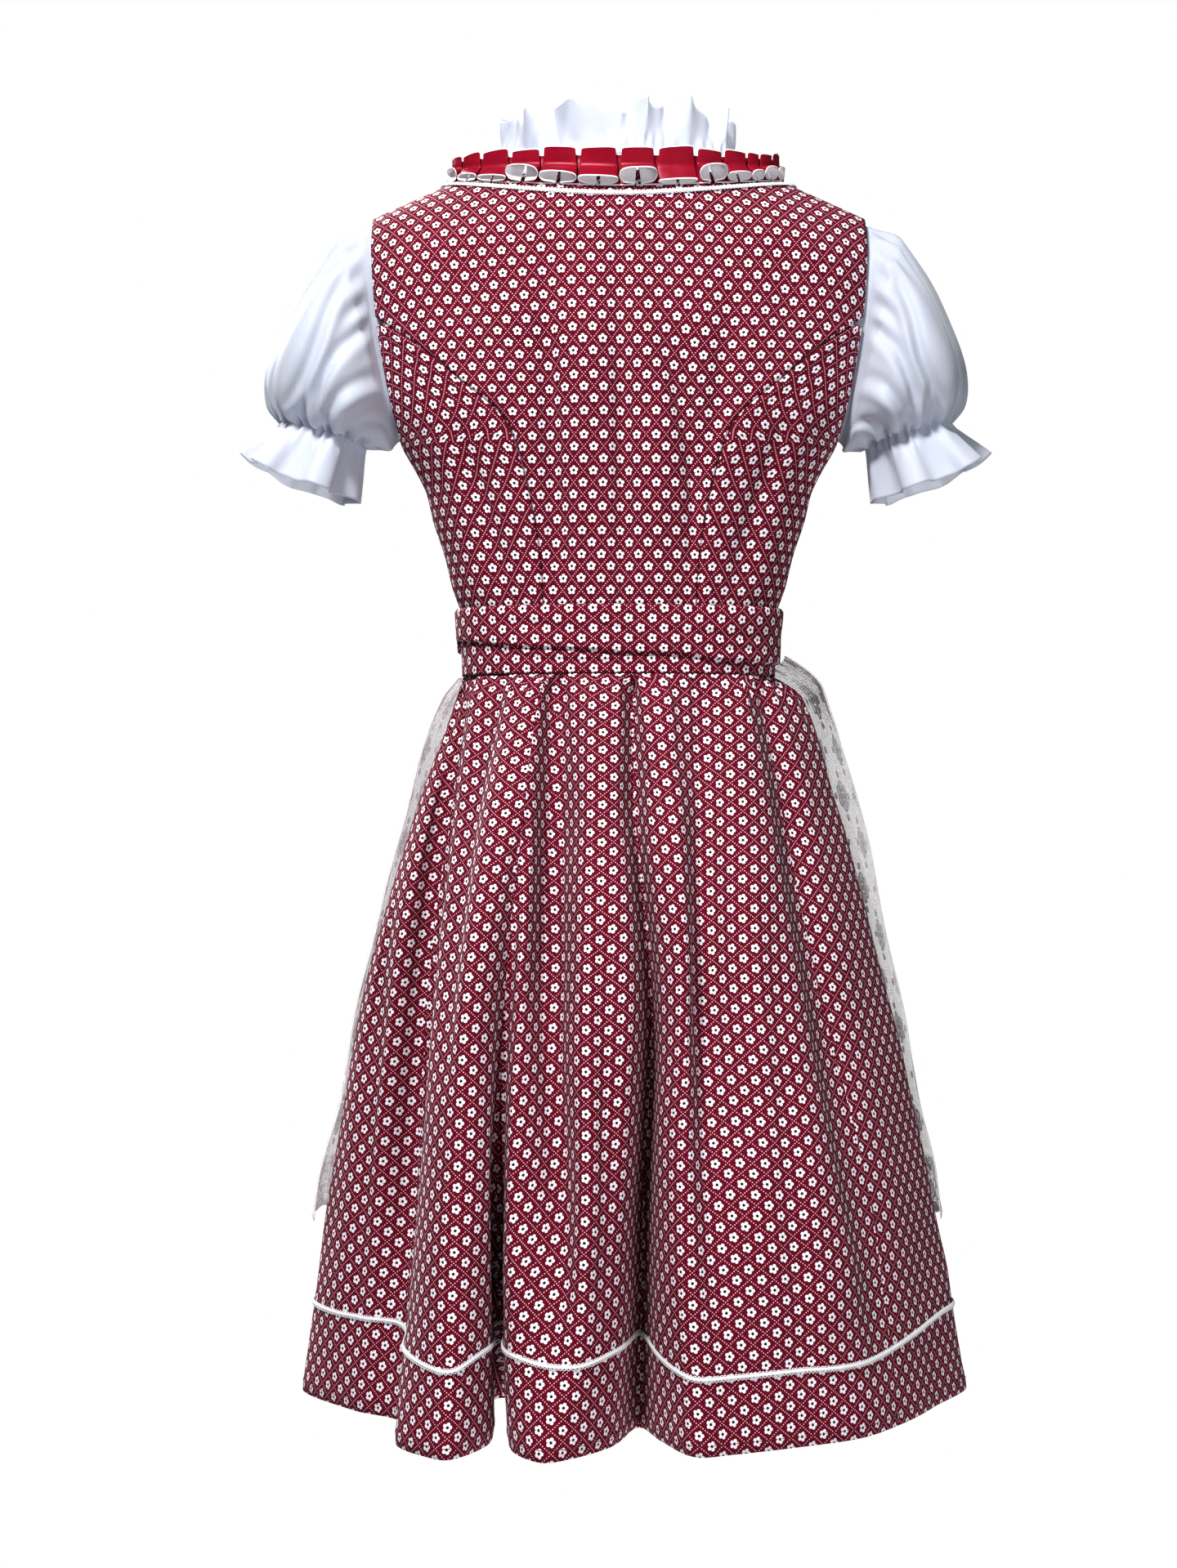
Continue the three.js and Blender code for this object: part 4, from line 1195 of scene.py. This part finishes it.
def sash():
    angle = full_turn(300)
    z = joined_steps(SASH_TOP, (-380, 14), (-404, 26), (-410, 4), (-411.6, 2))[:, None]
    side = np.where(np.sin(angle) >= 0, 1, -1)
    out = curve(SASH, "out", z)
    x, y = superellipse(angle, curve(TORSO, "half", z) + out, torso_depth(z, side) + out)
    back_fold = curve(SASH_FOLD, "height", np.clip(x, -140, 140))
    fold = np.where(side > 0, back_fold, -392 + 3 * np.sin(x / 40))
    above = z - fold
    layer = 3.2 * smooth(-0.7, 0.5, above) - 1.2 * bell(above + 1.5, 1.1)
    moved = layer - 1.6 + 0.5 * ripple(x, 3 * z, 10, 6.0) - 1.2 * smooth(-359, SASH_TOP, z)
    for x0, z0, x1, z1, width, crease in zip(*SASH_CREASES.values()):
        share = np.clip((x - x0) / (x1 - x0), 0, 1)
        fade = np.sin(math.pi * share) ** 0.7
        moved = moved - crease * fade * bell(z - z0 - (z1 - z0) * share, width)
    grid = moved_out(points_of(x, y, z), moved, around=True, turn=-1)
    step = np.linalg.norm(np.diff(grid, axis=1, append=grid[:, :1]), axis=-1)
    flat = flat_grid(z, -np.concatenate([[0], np.cumsum(step[10])]))
    piece = cloth_wall("sash_cloth", grid, flat, SASH_WALL, [PRINT], around=True, turn=-1)
    stands_for(piece, "print", "sash")


# Knot of the tie: half sizes and the place of its middle
KNOT_HALF = (16.4, 7.6, 18.2)
KNOT_Y = -109.6
KNOT_Z = -387


def knot():
    """Knot of the tie, with the folds of the band that wraps it."""
    rows = np.linspace(0.02, math.pi - 0.02, 40)[:, None]
    turn = full_turn(64)
    folds = 1 + 0.05 * np.cos(10.8 * np.sin(rows) * np.cos(turn) + 1.0) + 0.03 * np.cos(5 * rows)
    x = KNOT_HALF[0] * np.sin(rows) * np.cos(turn) * folds
    y = KNOT_HALF[1] * np.sin(rows) * np.sin(turn) * folds + KNOT_Y
    grid = points_of(x, y, KNOT_HALF[2] * np.cos(rows) + KNOT_Z)
    index = np.arange(grid[..., 0].size).reshape(grid.shape[:2])
    right = np.roll(index, -1, axis=1)
    faces = np.stack([index[:-1], index[1:], right[1:], right[:-1]], -1).reshape(-1, 4)

    def cap(ring):
        return [(ring[i], ring[i + 1], ring[-2 - i], ring[-1 - i]) for i in range(len(ring) // 2 - 1)]

    faces = np.concatenate([faces, cap(index[0]), cap(index[-1][::-1])])
    points = grid.reshape(-1, 3)
    if volume_sign(points, faces) < 0:
        faces = faces[:, ::-1]
    flats = points[faces][..., [2, 0]]
    piece = add_piece("tie_knot", points, faces, [PRINT], flats)
    stands_for(piece, "print", "sash_knot")


# Apron from the waist to the hem: how far it reaches to the left, to the right and to the front
APRON = columns(
    "z left right front",
    (-412, 133, 134, 100),
    (-430, 147, 168, 114),
    (-475, 165, 187, 136),
    (-530, 178, 203, 158),
    (-600, 198, 218, 181),
    (-665, 213, 231, 200),
    (-720, 225, 243, 213),
    (-775, 235, 253, 225),
    (-830, 249, 264, 236),
    (-862, 256, 270, 241),
)


def apron_y(x, z):
    half = np.where(x > 0, curve(APRON, "left", z), curve(APRON, "right", z))
    share = np.maximum(0, 1 - (x / half) ** 2)
    return -curve(APRON, "front", z) * np.sqrt(share)


TIE_END_TOP = -406.6
TIE_END_LOW = -640
TIE_WIDTH = 44


def tie_end(sign):
    name = "left" if sign > 0 else "right"
    t = np.linspace(0, 1, 26)
    z = np.linspace(TIE_END_TOP, TIE_END_LOW, 90)[:, None]
    i = np.interp(-z, [-TIE_END_TOP, 425, 450, 490, 540, 590, -TIE_END_LOW], np.arange(7))
    x = sign * (0.6 + 3 * i + t * np.minimum(TIE_WIDTH, 16 + 9 * i))
    away = 7 + 2 * np.cos(t * 9 + i) + 0.5 * np.cos(19 * t + 2 * i)
    slant = (t - 0.5) * 16 * smooth(-600, TIE_END_LOW, z)
    grid = points_of(x, apron_y(x, z) - away, np.minimum(z + slant, TIE_END_TOP))
    flat = flat_grid(-z, t * TIE_WIDTH)
    piece = cloth_wall(f"{name}_tie_end_cloth", grid, flat, 0.9, [PRINT], turn=-sign)
    stands_for(piece, "print", f"tie_end_{name}")


# Ends of the apron round the waist in degrees, its number of small folds and its hem
APRON_START = -7
APRON_END = 187
APRON_FOLDS = 30
APRON_HEM = -862


def apron():
    share = np.linspace(0, 1, 420)
    angle = np.radians(APRON_START + (APRON_END - APRON_START) * share)
    place = APRON_FOLDS * share
    z = joined_steps(WAIST_Z, (-430, 10), (-850, 56), (APRON_HEM, 7))[:, None]
    below = WAIST_Z - z
    half = np.where(np.cos(angle) > 0, curve(APRON, "left", z), curve(APRON, "right", z))
    fall = np.clip(below / 450, 0, 1)
    ahead = np.maximum(0, np.sin(angle))
    away = 1 + 0.02 * fall * (1 - np.cos(place / 3 * math.pi)) * ahead
    y = np.where(np.sin(angle) > 0, -curve(APRON, "front", z) * ahead * away, -120 * np.sin(angle))
    corner = smooth(23, APRON_FOLDS, place) * smooth(-446, WAIST_Z, z)
    grid = points_of(half * np.cos(angle) * away - 4 * corner, y, z)
    scallop = 3.2 * np.abs(np.sin(place * 2.6)) * smooth(-838, APRON_HEM, z)
    grid[..., 2] += scallop + 17 * corner
    held = np.exp(-below / 26) * (1 - np.exp(-below / 3))
    gathers = 1.2 * np.cos(place * 21 + 2 * np.sin(place)) * held
    soft = np.sin(place * 2.9 + 1.5 * np.sin(place * 0.7)) * smooth(0, 2, place) * smooth(30, 28, place)
    edge = np.sin(-z / 21 + 0.6) * (smooth(2.2, 0, place) + smooth(27.8, 30, place))
    grid = moved_out(grid, gathers + (1.6 * soft + 2.2 * edge) * fall)
    step = np.linalg.norm(np.diff(grid[40], axis=0, prepend=grid[40, :1]), axis=-1)
    across = (np.cumsum(step) / np.sum(step) - 0.5) * LACE_WIDTH / MM
    flat = flat_grid(across, z - APRON_HEM)
    piece = cloth_wall("apron_lace", grid, flat, APRON_WALL, [LACE])
    stands_for(piece, "lace", "apron")


# Skirt fold lines on the back, from the left side to the right side, at five levels
SKIRT_LEVELS = (-430, -530, -665, -835, -1000)
BACK_FOLDS = (
    ("left side", (134, 170, 208, 239, 261), (0, 0, 0, 0, 15)),
    ("left swell", (132, 158, 184, 203, 214), (12, 50, 72, 84, 102)),
    ("left hollow", (127, 144, 161, 168, 174), (24, 50, 70, 90, 140)),
    ("lobe one edge", (116, 138, 153, 160, 170), (62, 92, 140, 178, 226)),
    ("lobe one crease", (101, 125, 135, 142, 150), (72, 116, 185, 225, 258)),
    ("lobe one ridge", (81, 100, 118, 125, 130), (93, 152, 205, 242, 273)),
    ("lobe one turn", (70, 84, 98, 101, 101), (97, 152, 192, 222, 225)),
    ("deep hollow start", (66, 78, 92, 99, 100), (97, 149, 172, 176, 62)),
    ("deep hollow end", (64, 75, 87, 93, 90), (96, 147, 170, 174, 60)),
    ("lobe two turn", (60, 69, 77, 84, 82), (93, 143, 188, 229, 248)),
    ("lobe two crease", (52, 49, 54, 46, 58), (83, 115, 166, 222, 281)),
    ("lobe two ridge", (22, 24, 27, 28, 37), (101, 152, 208, 246, 269)),
    ("lobe two edge", (1, 2, -6, 0, 8), (99, 148, 196, 222, 232)),
    ("centre hollow", (-11, -12, -24, -17, -14), (83, 117, 148, 160, 164)),
    ("lobe three turn", (-19, -24, -33, -29, -30), (97, 145, 192, 212, 212)),
    ("lobe three ridge", (-32, -42, -46, -48, -55), (101, 152, 206, 242, 264)),
    ("lobe three crease", (-60, -63, -66, -75, -84), (85, 130, 178, 228, 255)),
    ("lobe four ridge", (-86, -95, -107, -128, -138), (86, 135, 186, 224, 229)),
    ("lobe four edge", (-103, -120, -143, -172, -184), (77, 118, 158, 190, 200)),
    ("right hollow", (-114, -137, -163, -198, -217), (56, 84, 112, 136, 156)),
    ("right swell", (-134, -160, -190, -227, -252), (38, 60, 80, 92, 92)),
    ("right side", (-152, -184, -219, -257, -287), (0, 0, 0, 0, 0)),
)
RIGHT_SIDE = len(BACK_FOLDS) - 1

# Stretch of fold numbers inside the deep hollow, which stays free of creases
DEEP_HOLLOW = (6.3, 8.7)

# Front of the skirt: its depth, and the share by which its hollows lie further in
SKIRT_FRONT = columns(
    "z depth hollow",
    (-412, 96, 0),
    (-430, 104, 0.06),
    (-530, 146, 0.12),
    (-665, 188, 0.17),
    (-835, 224, 0.2),
    (-1000, 248, 0.22),
)
FRONT_FOLDS = 12

# Sharper troughs and ridges along the back folds
SKIRT_CREASES = columns(
    "x0 z0 x1 z1 x2 z2 width depth",
    (50, -396, 54, -640, 44, -900, 9, 8.0),
    (128, -396, 152, -600, 172, -940, 9, 10.0),
    (94, -396, 122, -530, 138, -740, 9, 10.0),
    (-70, -410, -66, -640, -72, -940, 10, 9.0),
    (-116, -400, -150, -620, -205, -960, 11, 9.0),
    (18, -540, 10, -700, 14, -920, 9, 5.0),
    (-118, -580, -126, -760, -140, -970, 12, 6.0),
    (188, -560, 200, -700, 214, -970, 9, 7.0),
    (-30, -410, -44, -560, -48, -760, 9, -3.0),
)
SKIRT_PLACES = RIGHT_SIDE + FRONT_FOLDS
SAMPLES_PER_FOLD = 14
HEM_Z = -1000
BRAID_Z = -930
STITCHES_UP = 8.0

# How far the braid lies above or below its level on the back, by the place across
BRAID_RISE = columns(
    "across rise",
    (240, 2),
    (180, 2),
    (160, -3),
    (128, -7),
    (104, 3),
    (88, 3),
    (56, -4),
    (30, -3),
    (-12, 4),
    (-36, -8),
    (-60, -14),
    (-130, -13),
    (-196, -14),
    (-236, -6),
    (-262, 0),
)

# Stretches of the skirt between hollows, and the ridge from which each one's print is measured
PRINT_STRETCHES = columns(
    "start end ridge",
    (0, 2, 1),
    (2, 7.5, 5),
    (7.5, 13, 11),
    (13, 19, 16),
    (19, 21, 20),
    (21, 22, 21),
    (22, 24, 23),
    (24, 26, 25),
    (26, 28, 27),
    (28, 30, 29),
    (30, 32, 31),
    (32, 33, 33),
)


def waist_point(x, y):
    """Point of the skirt's waist in the direction of a fold line."""
    half = 129
    depth = 89 if y >= 0 else 96
    length = math.hypot(x, y)
    across = abs(x / length / half) ** TORSO_POWER
    away = abs(y / length / depth) ** TORSO_POWER
    reach = (across + away) ** (-1 / TORSO_POWER)
    return x / length * reach, y / length * reach


def fold_table(xs, ys):
    waist_x, waist_y = waist_point(xs[0], ys[0])
    rows = [(WAIST_Z, waist_x, waist_y)]
    rows += list(zip(SKIRT_LEVELS, xs, ys))
    return columns("z x y", *rows)


FOLD_TABLES = [fold_table(xs, ys) for _, xs, ys in BACK_FOLDS]


def skirt_fold_points(z):
    points = [(curve(table, "x", z), curve(table, "y", z), z) for table in FOLD_TABLES]
    depth = curve(SKIRT_FRONT, "depth", z)
    hollow = curve(SKIRT_FRONT, "hollow", z)
    for j in range(1, FRONT_FOLDS):
        angle = math.pi * (1 + j / FRONT_FOLDS)
        size = 1 - hollow if j % 2 else 1
        side = FOLD_TABLES[0] if math.cos(angle) > 0 else FOLD_TABLES[-1]
        half = abs(curve(side, "x", z))
        points.append((half * math.cos(angle) * size, depth * math.sin(angle) * size, z))
    return np.array(points, float)


def skirt_row(z, places):
    """Smooth closed curve through the fold points at one height, at the given fold numbers."""
    points = skirt_fold_points(z)
    count = len(points)
    i = np.floor(places).astype(int)
    t = (places - i)[:, None]
    before, first, second, after = (points[(i + k) % count] for k in (-1, 0, 1, 2))
    gap0, gap1, gap2 = (
        np.sqrt(np.linalg.norm(b - a, axis=-1, keepdims=True))
        for a, b in ((before, first), (first, second), (second, after))
    )
    start = ((first - before) / gap0 - (second - before) / (gap0 + gap1) + (second - first) / gap1) * gap1
    end = ((second - first) / gap1 - (after - first) / (gap1 + gap2) + (after - second) / gap2) * gap1
    third = -3 * first + 3 * second - 2 * start - end
    fourth = 2 * first - 2 * second + start + end
    return first + start * t + third * t**2 + fourth * t**3


def skirt_ring():
    """Points and normals of the whole skirt, with the fold number of each column."""
    places = np.arange(SKIRT_PLACES * SAMPLES_PER_FOLD) / SAMPLES_PER_FOLD
    heights = joined_steps(WAIST_Z - SEAM_GAP, (-450, 22), (HEM_Z, 82))
    ring = np.stack([skirt_row(z, places) for z in heights])
    step = np.linalg.norm(np.diff(ring, axis=1, prepend=ring[:, -1:]), axis=-1)
    along = np.cumsum(step, axis=1)
    top = along[0]
    z = heights[:, None]
    below = WAIST_Z - z
    pulls = np.cos(top / 1.35 + 1.6 * np.sin(top / 21) + 0.9 * np.sin(top / 7.7))
    longer = np.cos(top / 3.1 + 1.1 * np.sin(top / 33))
    gathers = 0.9 * pulls * bell(below - 9, 12) + 1.1 * longer * bell(below - 26, 26)
    slack = 0.9 * ripple(along, z, 17, 2.5) * smooth(15, 80, below)
    dents = 0.66 * np.sin(places * 3.7 + 1.2 * np.sin(z / 60))
    dents = dents * smooth(60, 220, below) * smooth(HEM_Z, -900, z)
    on_back = (places > 0.5) & (places < RIGHT_SIDE - 0.5)
    hidden = (places > DEEP_HOLLOW[0]) & (places < DEEP_HOLLOW[1])
    dents = dents + creases(SKIRT_CREASES, ring[..., 0], z) * (on_back & ~hidden)
    curl = -0.8 * smooth(-996, HEM_Z, z)
    moved = gathers * smooth(0, 5, below) + slack + dents + curl
    ring = moved_out(ring, moved, around=True, turn=-1)
    return places, heights, ring, grid_normals(ring, True)


def skirt_flat(places, heights, ring):
    """Places on the flat cloth of each span's two ends, measured from the ridges."""
    closed = np.concatenate([ring, ring[:, :1]], axis=1)
    step = np.linalg.norm(np.diff(closed, axis=1), axis=-1)
    along = np.concatenate([np.zeros((len(ring), 1)), np.cumsum(step, axis=1)], axis=1)
    flat = np.zeros((len(ring), len(places), 2, 2))
    for start, end, ridge in zip(*PRINT_STRETCHES.values()):
        spans = np.flatnonzero((places >= start) & (places < end))
        at = int(round(ridge * SAMPLES_PER_FOLD))
        line = closed[:, at]
        down = np.concatenate([[0], np.cumsum(np.linalg.norm(np.diff(line, axis=0), axis=-1))])
        for end_index in (0, 1):
            flat[:, spans, end_index, 0] = down[:, None]
            flat[:, spans, end_index, 1] = along[:, spans + end_index] - along[:, at : at + 1]
    return flat


def skirt_panel(side, ring, normals, flat, first, last):
    name = "back" if side > 0 else "front"
    closed = np.concatenate([ring, ring[:, :1]], axis=1)
    closed_normals = np.concatenate([normals, normals[:, :1]], axis=1)
    grid = closed[:, first : last + 1].copy()
    grid[:, [0, -1], 1] += side * SEAM_GAP / 2
    piece = cloth_wall(
        f"{name}_skirt_cloth", grid, flat[:, first:last], SKIRT_WALL, [PRINT],
        turn=-1, normals=closed_normals[:, first : last + 1].copy(),
    )
    stands_for(piece, "print", f"skirt_{name}")


def ring_line(heights, ring, normals, z):
    """Line round the skirt at each column's height, with its normals."""
    above = np.searchsorted(-heights, -z) - 1
    share = ((z - heights[above]) / (heights[above + 1] - heights[above]))[:, None]
    column = np.arange(ring.shape[1])
    line = ring[above, column] * (1 - share) + ring[above + 1, column] * share
    normal = normals[above, column] * (1 - share) + normals[above + 1, column] * share
    return line, -unit(normal)


STITCH_SHAPE = np.array(
    [
        (-0.5, -0.5, 0), (0.5, -0.5, 0), (0.5, 0.5, 0), (-0.5, 0.5, 0),
        (-0.36, -0.3, 1), (0.36, -0.3, 1), (0.36, 0.3, 1), (-0.36, 0.3, 1),
    ]
)
STITCH_FACES = np.array(
    [(3, 2, 1, 0), (4, 5, 6, 7), (0, 1, 5, 4), (1, 2, 6, 5), (2, 3, 7, 6), (3, 0, 4, 7)]
)


def stitches(name, line, normals, pitch, size):
    """Row of sewn stitches along a closed line, each of that length, width and height."""
    centre, along, normal = line_frame(line, normals, pitch)
    length, width, height = size
    axes = np.stack([along * length, np.cross(normal, along) * width, normal * height], axis=1)
    points, faces = placed_copies(STITCH_SHAPE, STITCH_FACES, centre, axes)
    return add_piece(name, points, faces, [THREAD])


def skirt():
    places, heights, ring, normals = skirt_ring()
    flat = skirt_flat(places, heights, ring)
    seam = RIGHT_SIDE * SAMPLES_PER_FOLD
    last = SKIRT_PLACES * SAMPLES_PER_FOLD
    skirt_panel(1, ring, normals, flat, 0, seam)
    skirt_panel(-1, ring, normals, flat, seam, last)
    low = ring[int(np.searchsorted(-heights, -BRAID_Z))]
    rise = np.where(places < RIGHT_SIDE, curve(BRAID_RISE, "rise", low[:, 0]), 0)
    line, outward = ring_line(heights, ring, normals, BRAID_Z + rise)
    braid = picot_braid("hem_picot_braid", line + outward * 0.5, outward)
    stands_for(braid, "braid", "hem_braid")
    line, outward = ring_line(heights, ring, normals, np.full(len(places), HEM_Z + STITCHES_UP))
    hem = stitches("hem_stitches", line + outward * 0.05, outward, 3.2, (2.3, 0.5, 0.35))


# Setting


# The camera looks level at the back, and sees this width of the middle plane
CAMERA_PLACE = (0.0252, 2.4, -0.501)
VIEW_WIDTH = 1.305
SENSOR_WIDTH = 36


def make_camera():
    data = bpy.data.cameras.new("camera")
    data.sensor_width = SENSOR_WIDTH
    data.lens = SENSOR_WIDTH * CAMERA_PLACE[1] / VIEW_WIDTH
    camera = bpy.data.objects.new("camera", data)
    camera.location = CAMERA_PLACE
    camera.rotation_euler = (math.pi / 2, 0, math.pi)
    bpy.context.scene.collection.objects.link(camera)
    bpy.context.scene.camera = camera


def area_light(name, place, size, energy):
    data = bpy.data.lights.new(name, "AREA")
    data.shape = "DISK"
    data.size = size
    data.energy = energy
    light = bpy.data.objects.new(name, data)
    light.location = place
    light.rotation_euler = (Vector((0, 0, -0.5)) - Vector(place)).to_track_quat("-Z", "Y").to_euler()
    bpy.context.scene.collection.objects.link(light)


def make_lights():
    area_light("key", (0.85, 1.95, 2.0), 0.6, 132)
    area_light("fill", (-1.3, 2.4, -0.9), 1.6, 27)
    area_light("front_key", (1.6, -2.7, 1.6), 1.4, 170)


def make_world():
    """White background, with a softer light from all round."""
    world = bpy.data.worlds.new("studio")
    bpy.context.scene.world = world
    world.use_nodes = True
    tree = world.node_tree
    tree.nodes.clear()
    output = tree.nodes.new("ShaderNodeOutputWorld")
    shown = tree.nodes.new("ShaderNodeBackground")
    shown.inputs["Color"].default_value = (1, 1, 1, 1)
    shown.inputs["Strength"].default_value = 1.0
    around = tree.nodes.new("ShaderNodeBackground")
    around.inputs["Color"].default_value = (0.92, 0.96, 1, 1)
    around.inputs["Strength"].default_value = 0.13
    mix = tree.nodes.new("ShaderNodeMixShader")
    rays = tree.nodes.new("ShaderNodeLightPath")
    tree.links.new(rays.outputs["Is Camera Ray"], mix.inputs[0])
    tree.links.new(around.outputs[0], mix.inputs[1])
    tree.links.new(shown.outputs[0], mix.inputs[2])
    tree.links.new(mix.outputs[0], output.inputs["Surface"])


def floor_material():
    shader = Shader("pale_floor")
    place = shader.object_place()
    colour = shader.mix(shader.noise(place, 3.0), (0.80, 0.80, 0.81, 1), (0.84, 0.84, 0.85, 1))
    shader.set(Base_Color=colour, Roughness=0.9)
    return shader.material


FLOOR_RADIUS = 1.45
FLOOR_Z = -1.6


def make_floor():
    """Round floor below the hem, out of the camera's view."""
    turn = full_turn(96)
    points = points_of(FLOOR_RADIUS * np.cos(turn), FLOOR_RADIUS * np.sin(turn), FLOOR_Z)
    mesh = bpy.data.meshes.new("floor")
    mesh.from_pydata(points.tolist(), [], [tuple(range(len(turn)))])
    mesh.materials.append(floor_material())
    floor = bpy.data.objects.new("floor", mesh)
    bpy.context.scene.collection.objects.link(floor)


make_camera()
make_world()
make_lights()
make_floor()
bodice_back()
for make in (bodice_side, bodice_front, blouse_body):
    make(1)
    make(-1)
neck_ribbon()
neck_braid()
collar()
sleeve(1)
sleeve(-1)
skirt()
sash()
knot()
tie_end(1)
tie_end(-1)
apron()

bpy.context.scene.view_settings.view_transform = "Standard"
bpy.context.scene.view_settings.gamma = 0.8
